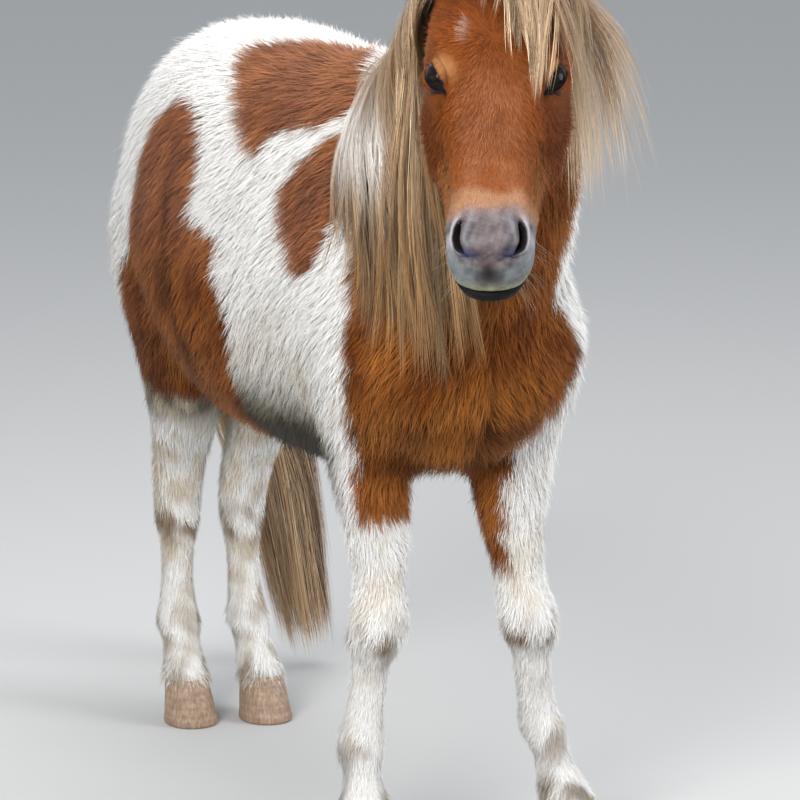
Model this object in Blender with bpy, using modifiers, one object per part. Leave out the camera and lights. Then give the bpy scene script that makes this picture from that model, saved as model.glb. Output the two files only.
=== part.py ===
"""A shetland pony, standing, head turned a little to its right, as a still life-size model.
Metres, +Z up, the pony faces -Y and its left side is +X. The outline is the outline of the coat.
The body is modelled whole and parted into its named nodes by thin cuts."""
import math

import bmesh
import bpy
import numpy as np
from mathutils import Vector
from mathutils.bvhtree import BVHTree

for _o in list(bpy.data.objects):
    bpy.data.objects.remove(_o)

GAP = 0.0004             # width of the parting cuts
VOXEL = 0.0075           # grain of the closed body before it is thinned out
BODY_FACES = 0.0304      # share of the faces kept by the thinning
SHIFT = (0.0149, -0.1337)       # brings the middle of the model's box over the origin

# ---------------------------------------------------------------- curves
def through(t, rows, at):
    """Smooth curve through the rows (one row per station t), read at the values at."""
    t, rows, at = np.asarray(t, float), np.asarray(rows, float), np.asarray(at, float)
    h = np.diff(t)
    slope = np.diff(rows, axis=0) / h[:, None]
    m = np.empty_like(rows)
    m[0], m[-1] = slope[0], slope[-1]
    m[1:-1] = (slope[:-1] * h[1:, None] + slope[1:] * h[:-1, None]) / (h[1:] + h[:-1])[:, None]
    i = np.clip(np.searchsorted(t, at, side="right") - 1, 0, len(t) - 2)
    x = ((at - t[i]) / h[i])[:, None]
    hh = h[i][:, None]
    return ((2*x**3 - 3*x**2 + 1) * rows[i] + (x**3 - 2*x**2 + x) * hh * m[i]
            + (-2*x**3 + 3*x**2) * rows[i+1] + (x**3 - x**2) * hh * m[i+1])

def unit(v):
    v = np.asarray(v, float)
    return v / np.linalg.norm(v, axis=-1, keepdims=True)

def power(c, n):
    return np.sign(c) * np.abs(c) ** (2.0 / n)

def superring(c, e1, e2, a, up, dn, nu, nd, count):
    """Points of one section: an oval a wide each side, up and dn tall, squarer as nu and nd grow."""
    th = np.arange(count) * 2 * math.pi / count
    co, si = np.cos(th), np.sin(th)
    n = np.where(si >= 0, nu, nd)
    b = np.where(si >= 0, up, dn)
    x = a * power(co, n)
    y = b * power(si, n)
    return c + x[:, None] * e1 + y[:, None] * e2

def skin_rings(name, rings, tip0=None, tip1=None):
    """Closed mesh over a list of rings of equally many points."""
    n = len(rings[0])
    bm = bmesh.new()
    rows = [[bm.verts.new(p) for p in r] for r in rings]
    for r0, r1 in zip(rows[:-1], rows[1:]):
        for k in range(n):
            bm.faces.new((r0[k], r0[(k+1) % n], r1[(k+1) % n], r1[k]))
    for row, tip in ((rows[0], tip0), (rows[-1], tip1)):
        c = bm.verts.new(np.mean([v.co for v in row], axis=0) if tip is None else tip)
        for k in range(n):
            bm.faces.new((row[k], row[(k+1) % n], c))
    bmesh.ops.recalc_face_normals(bm, faces=bm.faces)
    me = bpy.data.meshes.new(name)
    bm.to_mesh(me)
    bm.free()
    ob = bpy.data.objects.new(name, me)
    bpy.context.scene.collection.objects.link(ob)
    return ob

def resampled(t, rows, step):
    t = np.asarray(t, float)
    at = [t[0]]
    n = max(2, int(round(abs(t[-1] - t[0]) / step)) + 1)
    return np.linspace(t[0], t[-1], n)

# ---------------------------------------------------------------- sizes
# trunk: y, height of the widest place, up to the back, down to the belly, half width, squareness up and down
TRUNK = [
    (-0.150, 0.610, 0.028, 0.032, 0.038, 2.0, 2.0),
    (-0.140, 0.612, 0.072, 0.070, 0.082, 2.0, 2.0),
    (-0.115, 0.618, 0.125, 0.114, 0.120, 2.0, 2.1),
    (-0.070, 0.628, 0.185, 0.154, 0.146, 1.9, 2.2),
    (-0.010, 0.636, 0.245, 0.180, 0.158, 1.8, 2.2),
    ( 0.060, 0.640, 0.280, 0.202, 0.161, 1.75, 2.2),
    ( 0.130, 0.643, 0.288, 0.213, 0.164, 1.85, 2.2),
    ( 0.220, 0.641, 0.284, 0.214, 0.174, 2.0, 2.2),
    ( 0.340, 0.641, 0.283, 0.213, 0.187, 2.15, 2.2),
    ( 0.450, 0.650, 0.280, 0.210, 0.186, 2.2, 2.2),
    ( 0.550, 0.664, 0.262, 0.190, 0.170, 2.15, 2.1),
    ( 0.640, 0.680, 0.228, 0.160, 0.148, 2.1, 2.0),
    ( 0.715, 0.690, 0.188, 0.135, 0.124, 2.0, 2.0),
    ( 0.770, 0.698, 0.142, 0.106, 0.094, 2.0, 2.0),
    ( 0.805, 0.702, 0.095, 0.072, 0.064, 2.0, 2.0),
    ( 0.820, 0.704, 0.045, 0.036, 0.032, 2.0, 2.0),
]
# neck: crest point x y z, underline point x y z, half width, squareness up and down
NECK = [
    (0.000, 0.200, 0.915, 0.000, -0.020, 0.490, 0.100, 1.9, 2.0),
    (0.000, 0.110, 0.922, 0.000, -0.108, 0.560, 0.125, 1.75, 2.0),
    (-0.002, 0.020, 0.942, -0.002, -0.152, 0.630, 0.132, 1.70, 2.0),
    (-0.012, -0.070, 0.984, -0.012, -0.180, 0.695, 0.122, 1.70, 2.0),
    (-0.033, -0.155, 1.032, -0.030, -0.208, 0.762, 0.105, 1.75, 2.0),
    (-0.062, -0.240, 1.074, -0.050, -0.244, 0.830, 0.090, 1.80, 2.0),
    (-0.091, -0.320, 1.102, -0.068, -0.282, 0.890, 0.078, 1.90, 2.0),
    (-0.112, -0.380, 1.108, -0.078, -0.310, 0.945, 0.066, 2.0, 2.0),
]
# head, in its own frame: u from the poll to the lips, w out of the forehead, v to the left
POLL = np.array((-0.120, -0.405, 1.088))
HEAD_YAW, HEAD_PITCH = math.radians(27.8), math.radians(45.0)
FWD = np.array((-math.sin(HEAD_YAW), -math.cos(HEAD_YAW), 0.0))
HU = FWD * math.cos(HEAD_PITCH) + np.array((0, 0, -math.sin(HEAD_PITCH)))
HW = FWD * math.sin(HEAD_PITCH) + np.array((0, 0, math.cos(HEAD_PITCH)))
HV = np.array((math.cos(HEAD_YAW), -math.sin(HEAD_YAW), 0.0))
# u, top, upper edge (half width, w), widest (half width, w), jaw side (half width, w), bottom
HEAD = [
    (-0.050, -0.020, 0.022, -0.026, 0.036, -0.060, 0.024, -0.092, -0.104),
    (-0.025, -0.006, 0.030, -0.012, 0.050, -0.054, 0.036, -0.106, -0.124),
    (0.010, 0.004, 0.038, -0.003, 0.063, -0.044, 0.047, -0.125, -0.148),
    (0.050, 0.014, 0.047, 0.005, 0.073, -0.036, 0.053, -0.140, -0.167),
    (0.095, 0.020, 0.053, 0.009, 0.077, -0.034, 0.056, -0.145, -0.175),
    (0.140, 0.019, 0.053, 0.007, 0.0780, -0.038, 0.055, -0.138, -0.167),
    (0.180, 0.015, 0.047, 0.004, 0.0745, -0.048, 0.049, -0.120, -0.146),
    (0.230, 0.010, 0.040, 0.001, 0.0655, -0.054, 0.041, -0.098, -0.118),
    (0.275, 0.005, 0.037, -0.003, 0.0570, -0.049, 0.035, -0.081, -0.098),
    (0.305, 0.002, 0.035, -0.006, 0.0500, -0.044, 0.032, -0.075, -0.092),
    (0.328, -0.001, 0.033, -0.010, 0.0465, -0.040, 0.031, -0.074, -0.090),
    (0.352, -0.005, 0.033, -0.014, 0.0460, -0.040, 0.031, -0.075, -0.087),
    (0.372, -0.014, 0.029, -0.021, 0.0390, -0.044, 0.027, -0.072, -0.081),
    (0.386, -0.028, 0.020, -0.034, 0.0275, -0.049, 0.018, -0.065, -0.072),
    (0.392, -0.041, 0.009, -0.044, 0.0125, -0.053, 0.008, -0.059, -0.062),
]

def headp(u, v, w):
    u, v, w = np.asarray(u, float), np.asarray(v, float), np.asarray(w, float)
    return POLL + u[..., None] * HU + v[..., None] * HV + w[..., None] * HW

def closed_smooth(P, count):
    """Closed smooth loop through the points P, read at count places."""
    n = len(P)
    Q = np.concatenate([P[-2:], P, P[:3]])
    d = np.linalg.norm(np.diff(Q, axis=0), axis=1) ** 0.5
    t = np.concatenate([[0], np.cumsum(d)])
    at = np.linspace(t[2], t[n + 2], count, endpoint=False)
    return through(t, Q, at)

def head_rings(step=0.006, count=48):
    T = np.array(HEAD)
    us = resampled(T[:, 0], T, step)
    R = through(T[:, 0], T[:, 1:], us)
    rings = []
    for u, (top, wt, zt, wm, zm, wl, zl, bot) in zip(us, R):
        P = np.array([(0, top), (wt, zt), (wm, zm), (wl, zl), (0, bot), (-wl, zl), (-wm, zm), (-wt, zt)])
        L = closed_smooth(P, count)
        rings.append(headp(np.full(count, u), L[:, 0], L[:, 1]))
    return rings

# legs: named places down the leg: height, lateral half width, forward and backward depth, squareness
FORE = [  # z, half width, front, back
    (0.760, 0.040, 0.065, 0.075),
    (0.700, 0.052, 0.090, 0.095),
    (0.620, 0.060, 0.100, 0.105),
    (0.550, 0.060, 0.090, 0.098),
    (0.490, 0.054, 0.068, 0.078),
    (0.430, 0.0470, 0.053, 0.056),
    (0.375, 0.0385, 0.042, 0.042),
    (0.328, 0.0345, 0.036, 0.036),
    (0.294, 0.0385, 0.041, 0.037),
    (0.264, 0.0375, 0.040, 0.037),
    (0.238, 0.0265, 0.0275, 0.030),
    (0.200, 0.0240, 0.0245, 0.030),
    (0.165, 0.0240, 0.0245, 0.032),
    (0.137, 0.0290, 0.0285, 0.038),
    (0.120, 0.0270, 0.0265, 0.036),
    (0.104, 0.0225, 0.0235, 0.029),
    (0.086, 0.0290, 0.0300, 0.029),
    (0.070, 0.0325, 0.0345, 0.031),
    (0.036, 0.0325, 0.0345, 0.031),
]
HIND = [
    (0.800, 0.045, 0.095, 0.095),
    (0.730, 0.060, 0.135, 0.140),
    (0.650, 0.066, 0.155, 0.165),
    (0.580, 0.065, 0.145, 0.160),
    (0.520, 0.060, 0.122, 0.132),
    (0.460, 0.053, 0.088, 0.094),
    (0.410, 0.046, 0.064, 0.064),
    (0.365, 0.0405, 0.048, 0.050),
    (0.330, 0.0365, 0.040, 0.046),
    (0.295, 0.0345, 0.037, 0.042),
    (0.260, 0.0300, 0.032, 0.036),
    (0.228, 0.0250, 0.0265, 0.030),
    (0.180, 0.0225, 0.0240, 0.029),
    (0.148, 0.0255, 0.0265, 0.033),
    (0.122, 0.0310, 0.0300, 0.038),
    (0.102, 0.0255, 0.0265, 0.032),
    (0.082, 0.0290, 0.0300, 0.029),
    (0.064, 0.0315, 0.0335, 0.030),
    (0.036, 0.0315, 0.0335, 0.030),
]
# places of each leg's own line: z, x, y
LINES = {
    "fore_R": [(0.78, -0.070, 0.050), (0.70, -0.088, 0.018), (0.62, -0.098, -0.005), (0.54, -0.094, 0.005), (0.48, -0.085, 0.010),
               (0.40, -0.080, 0.004), (0.32, -0.079, -0.004), (0.28, -0.082, -0.008), (0.22, -0.088, 0.000),
               (0.165, -0.095, 0.003), (0.137, -0.099, 0.000), (0.104, -0.103, -0.011), (0.050, -0.107, -0.028)],
    "fore_L": [(0.78, 0.070, 0.042), (0.70, 0.092, 0.005), (0.62, 0.104, -0.018), (0.54, 0.100, -0.012), (0.48, 0.088, -0.010),
               (0.40, 0.083, -0.018), (0.32, 0.090, -0.030), (0.28, 0.096, -0.036), (0.22, 0.107, -0.028),
               (0.165, 0.117, -0.022), (0.137, 0.123, -0.025), (0.104, 0.131, -0.036), (0.050, 0.141, -0.053)],
    "hind_R": [(0.80, -0.066, 0.610), (0.73, -0.076, 0.622), (0.65, -0.082, 0.622), (0.58, -0.080, 0.620), (0.52, -0.073, 0.622), (0.46, -0.063, 0.638),
               (0.41, -0.057, 0.658), (0.365, -0.053, 0.680), (0.33, -0.051, 0.695), (0.295, -0.050, 0.702),
               (0.22, -0.051, 0.702), (0.16, -0.053, 0.697), (0.122, -0.055, 0.688), (0.095, -0.056, 0.676), (0.048, -0.058, 0.656)],
    "hind_L": [(0.80, 0.066, 0.610), (0.73, 0.076, 0.618), (0.65, 0.082, 0.612), (0.58, 0.078, 0.606), (0.52, 0.070, 0.606), (0.46, 0.059, 0.620),
               (0.41, 0.049, 0.638), (0.365, 0.041, 0.658), (0.33, 0.036, 0.672), (0.295, 0.033, 0.681),
               (0.22, 0.032, 0.682), (0.16, 0.034, 0.677), (0.122, 0.035, 0.667), (0.095, 0.036, 0.655), (0.048, 0.038, 0.634)],
}
HOOF_TOP, HOOF_HEIGHT = 0.058, 0.058

def leg_rings(table, line, step=0.008, count=32):
    T, Ln = np.array(table)[::-1], np.array(line)[::-1]
    zs = np.linspace(T[0, 0], T[-1, 0], int((T[-1, 0] - T[0, 0]) / step) + 1)
    S = through(T[:, 0], T[:, 1:], zs)
    X = through(Ln[:, 0], Ln[:, 1:], np.clip(zs, Ln[0, 0], Ln[-1, 0]))
    e1, e2 = np.array((1.0, 0, 0)), np.array((0, -1.0, 0))
    return [superring(np.array((x, y, z)), e1, e2, a, f, b, 2.1, 2.0, count) for z, (a, f, b), (x, y) in zip(zs, S, X)]

def trunk_rings(step=0.012, count=56):
    T = np.array(TRUNK)
    ys = np.linspace(T[0, 0], T[-1, 0], int((T[-1, 0] - T[0, 0]) / step) + 1)
    S = through(T[:, 0], T[:, 1:], ys)
    e1, e2 = np.array((1.0, 0, 0)), np.array((0, 0, 1.0))
    return [superring(np.array((0, y, zc)), e1, e2, hw, up, dn, nu, nd, count) for y, (zc, up, dn, hw, nu, nd) in zip(ys, S)]

def neck_rings(step=0.012, count=48):
    N = np.array(NECK)
    mid = (N[:, 0:3] + N[:, 3:6]) / 2
    d = np.linalg.norm(np.diff(mid, axis=0), axis=1)
    t = np.concatenate([[0], np.cumsum(d)])
    at = np.linspace(0, t[-1], int(t[-1] / step) + 1)
    S = through(t, N, at)
    M = (S[:, 0:3] + S[:, 3:6]) / 2
    tang = unit(np.gradient(M, axis=0))
    rings = []
    for row, m, tg in zip(S, M, tang):
        up = row[0:3] - row[3:6]
        h = np.linalg.norm(up) / 2
        e2 = up / (2 * h)
        e1 = unit(np.cross(e2, tg))
        if e1[0] < 0:
            e1 = -e1
        rings.append(superring(m, e1, e2, row[6], h, h, row[7], row[8], count))
    return rings

def hoof_rings(line, count=32, scale=1.0):
    Ln = np.array(line)
    x, y = Ln[-1, 1], Ln[-1, 2]
    rows = [  # z, forward shift, half width, front, back
        (0.0000, 0.012, 0.0385, 0.046, 0.033),
        (0.0015, 0.012, 0.0393, 0.047, 0.034),
        (0.0160, 0.010, 0.0382, 0.0445, 0.034),
        (0.0340, 0.006, 0.0358, 0.0408, 0.033),
        (0.0500, 0.002, 0.0333, 0.0370, 0.032),
        (0.0580, 0.000, 0.0322, 0.0350, 0.031),
    ]
    out = []
    for z, s, a, f, b in rows:
        ring = superring(np.array((x, y - s, z)), np.array((1.0, 0, 0)), np.array((0, -1.0, 0)), a * scale, f * scale, b * scale, 2.1, 2.6, count)
        out.append(ring)
    return out

def ear_rings(side, count=24, stations=18):
    """A small pricked ear: a cupped leaf on the poll, side is +1 for the left."""
    base = headp(0.008, side * 0.047, -0.010)
    axis = unit(-HU * 0.60 + HW * 0.80 + HV * side * 0.16)
    fwd = unit(HW * 0.45 + HU * 0.75 + HV * side * 0.55)
    fwd = unit(fwd - axis * (fwd @ axis))
    lat = np.cross(axis, fwd)
    rows = [(-0.020, 0.020, 0.016), (0.0, 0.0215, 0.0175), (0.020, 0.0240, 0.018), (0.040, 0.0245, 0.0165), (0.060, 0.0215, 0.0135),
            (0.078, 0.0160, 0.0095), (0.092, 0.0095, 0.0060), (0.102, 0.0030, 0.0022)]
    T = np.array(rows)
    ss = np.linspace(T[0, 0], T[-1, 0], stations)
    S = through(T[:, 0], T[:, 1:], ss)
    return [superring(base + axis * s, lat, fwd, a, b, b, 2.0, 2.0, count) for s, (a, b) in zip(ss, S)], base, axis, fwd, lat

# ---------------------------------------------------------------- collections and colours
def collection(name):
    c = bpy.data.collections.new(name)
    bpy.context.scene.collection.children.link(c)
    return c

PONY = collection("shetland_pony")
CUTTERS = collection("cutters")

def paint(name, colour, rough):
    m = bpy.data.materials.new(name)
    m.use_nodes = True
    p = m.node_tree.nodes["Principled BSDF"]
    p.inputs["Base Color"].default_value = (*colour, 1.0)
    p.inputs["Roughness"].default_value = rough
    p.inputs["Metallic"].default_value = 0.0
    m.diffuse_color = (*colour, 1.0)
    return m

WHITE_COAT = (0.78, 0.75, 0.68)
CHESTNUT = (0.36, 0.15, 0.06)
FLAXEN = (0.55, 0.44, 0.31)

def place(ob, coll, name=None):
    for c in list(ob.users_collection):
        c.objects.unlink(ob)
    coll.objects.link(ob)
    if name:
        ob.name = name
        ob.data.name = name
    if coll is CUTTERS:
        ob.hide_render = True
        ob.display_type = "WIRE"
    return ob

def merged(obs, name):
    """One object that holds the faces of several, which are removed."""
    bm = bmesh.new()
    for o in obs:
        bm.from_mesh(o.data)
    me = bpy.data.meshes.new(name)
    bm.to_mesh(me)
    bm.free()
    for o in obs:
        bpy.data.objects.remove(o)
    ob = bpy.data.objects.new(name, me)
    bpy.context.scene.collection.objects.link(ob)
    return ob

def baked(ob, name):
    """A plain mesh object with the shape that ob's modifiers give it."""
    dg = bpy.context.evaluated_depsgraph_get()
    dg.update()
    me = bpy.data.meshes.new_from_object(ob.evaluated_get(dg))
    bpy.data.objects.remove(ob)
    me.name = name
    out = bpy.data.objects.new(name, me)
    bpy.context.scene.collection.objects.link(out)
    return out

def fused(obs, name, voxel, smooth, keep):
    """The union of overlapping closed shapes as one smooth closed mesh, thinned to a share of its faces."""
    ob = merged(obs, name)
    m = ob.modifiers.new("one_skin", "REMESH")
    m.mode, m.voxel_size, m.adaptivity = "VOXEL", voxel, 0.0
    m = ob.modifiers.new("soften", "SMOOTH")
    m.factor, m.iterations = 0.5, smooth
    m = ob.modifiers.new("thin", "DECIMATE")
    m.decimate_type, m.ratio, m.use_collapse_triangulate = "COLLAPSE", keep, True
    return baked(ob, name)

def only_largest(ob):
    """Removes crumbs that a cut left beside the main piece."""
    bm = bmesh.new()
    bm.from_mesh(ob.data)
    seen, parts = set(), []
    for f in bm.faces:
        if f.index in seen:
            continue
        todo, part = [f], []
        seen.add(f.index)
        while todo:
            g = todo.pop()
            part.append(g)
            for e in g.edges:
                for h in e.link_faces:
                    if h.index not in seen:
                        seen.add(h.index)
                        todo.append(h)
        parts.append(part)
    parts.sort(key=lambda p: -sum(f.calc_area() for f in p))
    doomed = [f for p in parts[1:] for f in p]
    bmesh.ops.delete(bm, geom=doomed, context="FACES")
    bmesh.ops.delete(bm, geom=[v for v in bm.verts if not v.link_faces], context="VERTS")
    bm.to_mesh(ob.data)
    bm.free()

def cell(name, low, high, axes, grow=0.0):
    """A block with eight corners: low and high are its two four-cornered ends."""
    pts = [np.array(p, float) for p in low + high]
    mid = sum(pts) / 8
    bm = bmesh.new()
    for p in pts:
        s = sum(np.sign((p - mid) @ np.array(a, float)) * np.array(a, float) for a in axes)
        bm.verts.new(p + s * grow)
    bmesh.ops.convex_hull(bm, input=bm.verts)
    bmesh.ops.recalc_face_normals(bm, faces=bm.faces)
    me = bpy.data.meshes.new(name)
    bm.to_mesh(me)
    bm.free()
    ob = bpy.data.objects.new(name, me)
    return place_new(ob)

def place_new(ob):
    bpy.context.scene.collection.objects.link(ob)
    return place(ob, CUTTERS)

def cut(ob, cutter, op="DIFFERENCE"):
    m = ob.modifiers.new(op.lower(), "BOOLEAN")
    m.operation, m.object, m.solver = op, cutter, "EXACT"
    return m

def grown(ob, name, by):
    """A copy of ob that is bigger all round by a hair, to cut its neighbours with."""
    c = bpy.data.objects.new(name, ob.data.copy())
    place_new(c)
    m = c.modifiers.new("grow", "DISPLACE")
    m.strength, m.mid_level = by, 0.0
    return c

def node_of(body, name, mat, *cuts):
    """One node: a copy of the body's mesh with the cuts that part it."""
    ob = bpy.data.objects.new(name, body.data.copy())
    bpy.context.scene.collection.objects.link(ob)
    for op, c in cuts:
        cut(ob, c, op)
    ob = baked(ob, name)
    only_largest(ob)
    return finish(ob, mat)

def finish(ob, mat):
    place(ob, PONY)
    ob.data.materials.clear()
    ob.data.materials.append(mat)
    ob.data.shade_smooth()
    ob.data.set_sharp_from_angle(angle=math.radians(50))
    return ob

# ---------------------------------------------------------------- the body, whole
forms = [skin_rings("trunk_form", trunk_rings()), skin_rings("neck_form", neck_rings()),
         skin_rings("head_form", head_rings())]
for leg, line in LINES.items():
    forms.append(skin_rings(leg + "_form", leg_rings(FORE if leg.startswith("fore") else HIND, line)))
BODY = fused(forms, "body_whole", VOXEL, 8, BODY_FACES)
place(BODY, CUTTERS)
BODY_TREE = BVHTree.FromObject(BODY, bpy.context.evaluated_depsgraph_get())

# ---------------------------------------------------------------- the cells that part it
X, Y, Z = (1.0, 0, 0), (0, 1.0, 0), (0, 0, 1.0)

def yz_cell(name, x0, x1, outline, grow):
    """A block between two planes across the body, with a four-cornered outline in y and z."""
    return cell(name, [(x0, y, z) for y, z in outline], [(x1, y, z) for y, z in outline], (X, Y, Z), grow)

MID_FORE, MID_HIND = 0.004, -0.010
ELBOW = [(-0.30, 0.515), (0.14, 0.402), (0.14, 0.262), (-0.30, 0.262)]
FORE_CANNON = [(-0.30, 0.2616), (0.14, 0.2616), (0.14, 0.0584), (-0.30, 0.0584)]
STIFLE = [(0.478, 0.556), (0.95, 0.612), (0.95, 0.272), (0.600, 0.272)]
HIND_CANNON = [(0.50, 0.2716), (0.95, 0.2716), (0.95, 0.0584), (0.50, 0.0584)]
NECK_BASE = [(0.070, 0.960), (-0.215, 0.650)]

def leg_cells(grow):
    g = GAP / 2
    return {
        "forearm_R": yz_cell("cell_forearm_R", -0.40, MID_FORE - g, ELBOW, grow),
        "forearm_L": yz_cell("cell_forearm_L", MID_FORE + g, 0.40, ELBOW, grow),
        "gaskin_R": yz_cell("cell_gaskin_R", -0.40, MID_HIND - g, STIFLE, grow),
        "gaskin_L": yz_cell("cell_gaskin_L", MID_HIND + g, 0.40, STIFLE, grow),
    }

def front_cell(grow):
    (y0, z0), (y1, z1) = NECK_BASE
    d = np.array((0, y0 - y1, z0 - z1)); d /= np.linalg.norm(d)
    n = np.array((0, -d[2], d[1]))
    a = np.array((0, y0, z0)) + d * 0.30
    b = np.array((0, y1, z1)) - d * 0.02
    ends = []
    for x in (-0.7, 0.7):
        e = np.array((x, 0, 0))
        ends.append([a + e, b + e, b + e + n * 1.2, a + e + n * 1.2])
    return cell("cell_front", ends[0], ends[1], (X, n, d), grow)

def head_cell(grow):
    p0, p1 = headp(-0.045, 0, 0.02), headp(-0.005, 0, -0.17)
    d = unit(p0 - p1)
    n = unit(np.cross(HV, d))
    if n @ HU < 0:
        n = -n
    a, b = p0 + d * 0.2, p1 - d * 0.12
    ends = []
    for s in (-0.3, 0.3):
        ends.append([a + HV * s, b + HV * s, b + HV * s + n * 0.7, a + HV * s + n * 0.7])
    return cell("cell_head", ends[0], ends[1], (HV, n, d), grow)

def muzzle_cell(grow):
    ends = []
    for s in (-0.2, 0.2):
        ends.append([headp(0.312, s, 0.15), headp(0.322, s, -0.25), headp(0.7, s, -0.25), headp(0.7, s, 0.15)])
    return cell("cell_muzzle", ends[0], ends[1], (HV, HU, HW), grow)

# ---------------------------------------------------------------- eyes and ears
EYE_U, EYE_V, EYE_W, EYE_R = 0.151, 0.0550, -0.0165, 0.0190

def eyeball(side, r, name):
    c = headp(EYE_U, side * EYE_V, EYE_W)
    bm = bmesh.new()
    bmesh.ops.create_uvsphere(bm, u_segments=12, v_segments=8, radius=r)
    for v in bm.verts:
        v.co = v.co + Vector(c)
    me = bpy.data.meshes.new(name)
    bm.to_mesh(me)
    bm.free()
    ob = bpy.data.objects.new(name, me)
    bpy.context.scene.collection.objects.link(ob)
    return ob

# ---------------------------------------------------------------- locks of long hair
def off_body(p, clear):
    """The point p, moved out to stand at least clear above the coat."""
    co, no, _i, _d = BODY_TREE.find_nearest(Vector(p))
    co, no = np.array(co), np.array(no)
    h = (p - co) @ no
    return (p + no * (clear - h), no) if h < clear else (p, no)

def lock(name, path, width, thick, clear=0.006, steps=14, count=10):
    """A flat lock of hair along a path, thin across the coat, rounded at the root and pointed at the tip."""
    P = np.array(path, float)
    d = np.linalg.norm(np.diff(P, axis=0), axis=1)
    t = np.concatenate([[0], np.cumsum(d)]) / d.sum()
    Q = through(t, P, np.linspace(0, 1, steps))
    rows, normals = [], []
    for q in Q:
        p, n = off_body(q, clear) if clear is not None else (q, np.array((0, 1.0, 0)))
        rows.append(p)
        normals.append(n)
    R = np.array(rows)
    for _ in range(2):
        R[1:-1] = (R[:-2] + 2 * R[1:-1] + R[2:]) / 4
    tg = unit(np.gradient(R, axis=0))
    rings = []
    for k, (p, n, tv) in enumerate(zip(R, normals, tg)):
        s = k / (steps - 1)
        e1 = unit(np.cross(tv, n))
        e2 = np.cross(e1, tv)
        w = width * (0.62 + 0.38 * math.sin(math.pi * min(1, s * 1.6))) * (1 - max(0, (s - 0.55) / 0.45) ** 1.6 * 0.72)
        rings.append(superring(p, e1, e2, w, thick, thick, 2.0, 2.0, count))
    return skin_rings(name, rings)

CREST = np.array([row[0:3] for row in NECK])[::-1][:-1]      # from the poll to the withers

def crest(s):
    d = np.linalg.norm(np.diff(CREST, axis=0), axis=1)
    t = np.concatenate([[0], np.cumsum(d)]) / d.sum()
    return through(t, CREST, np.array([s]))[0]

# right side of the neck: place of the root on the crest, tip, half width
MANE_R = [
    (0.02, (-0.062, -0.208, 0.715), 0.030),
    (0.10, (-0.032, -0.178, 0.610), 0.028),
    (0.18, (-0.040, -0.168, 0.596), 0.030),
    (0.26, (-0.070, -0.160, 0.592), 0.030),
    (0.34, (-0.088, -0.152, 0.596), 0.030),
    (0.43, (-0.106, -0.142, 0.590), 0.030),
    (0.52, (-0.126, -0.118, 0.622), 0.030),
    (0.61, (-0.138, -0.086, 0.655), 0.030),
    (0.70, (-0.142, -0.056, 0.700), 0.030),
    (0.79, (-0.130, -0.018, 0.742), 0.029),
    (0.88, (-0.104, 0.018, 0.775), 0.027),
    (0.96, (-0.072, 0.046, 0.800), 0.024),
]
# left side of the neck, lifted off it near the head: root, lift, tip, half width
MANE_L = [
    (0.03, 0.016, (0.034, -0.405, 0.858), 0.026),
    (0.10, 0.014, (0.040, -0.335, 0.805), 0.030),
    (0.18, 0.012, (0.046, -0.270, 0.805), 0.030),
    (0.27, 0.010, (0.062, -0.215, 0.810), 0.030),
    (0.36, 0.010, (0.076, -0.165, 0.820), 0.030),
    (0.46, 0.008, (0.088, -0.110, 0.835), 0.030),
    (0.57, 0.006, (0.100, -0.055, 0.875), 0.028),
    (0.70, 0.004, (0.096, 0.000, 0.880), 0.026),
]
# forelock: tip on the forehead (u, v), half width
FORELOCK = [(0.196, 0.048, 0.011), (0.170, 0.043, 0.013), (0.150, 0.030, 0.012), (0.110, 0.014, 0.014), (0.135, 0.070, 0.014), (0.060, -0.010, 0.013)]

def mane_locks(which):
    """The locks on one side; those on the right go with the ridge along the crest."""
    out = []
    if which == "left":
        return left_locks()
    for k, (s, tip, w) in enumerate(MANE_R):
        root, tip = crest(s), np.array(tip)
        side = np.array((-0.075, -0.012, 0.0)) * (1 - 0.3 * s) * (1 - 0.70 * min(1.0, max(0.0, (s - 0.60) / 0.35))) + np.array((-0.034, 0, 0)) * max(0.0, 1 - s / 0.36)
        a = root + np.array((0, 0, 0.004))
        b = root + side * 0.75 + np.array((0, 0, -0.055))
        m = (root + tip) / 2 + side * 0.55
        out.append(lock("mane_r%02d" % k, [a, b, m, tip], w, 0.012))
    ridge = [crest(s) + np.array((-0.006, 0, 0.002)) for s in (0.0, 0.2, 0.4, 0.6, 0.8, 1.0)]
    out.append(lock("mane_ridge", ridge, 0.020, 0.020, clear=None))
    return out

def left_locks():
    out = []
    for k, (s, lift, tip, w) in enumerate(MANE_L):
        root, tip = crest(s), np.array(tip)
        a = root + np.array((0, 0, 0.004))
        b = root + np.array((0.040 + 0.6 * lift, -0.008, -0.022))
        m = (root + tip) / 2 + np.array((0.022 + lift, -0.005, 0.022))
        out.append(lock("mane_l%02d" % k, [a, b, m, tip], w, 0.010))
    return out

def forelock_locks():
    out = []
    for k, (u, v, w) in enumerate(FORELOCK):
        a = headp(-0.020, 0.0, 0.004)
        b = headp(0.030, v * 0.35, 0.040)
        m = headp(0.55 * u + 0.015, v * 0.8, 0.036)
        tip = headp(u, v, 0.030 - 6.0 * v * v)
        out.append(lock("forelock%02d" % k, [a, b, m, tip], w, 0.0075, clear=0.0065))
    return out

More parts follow.
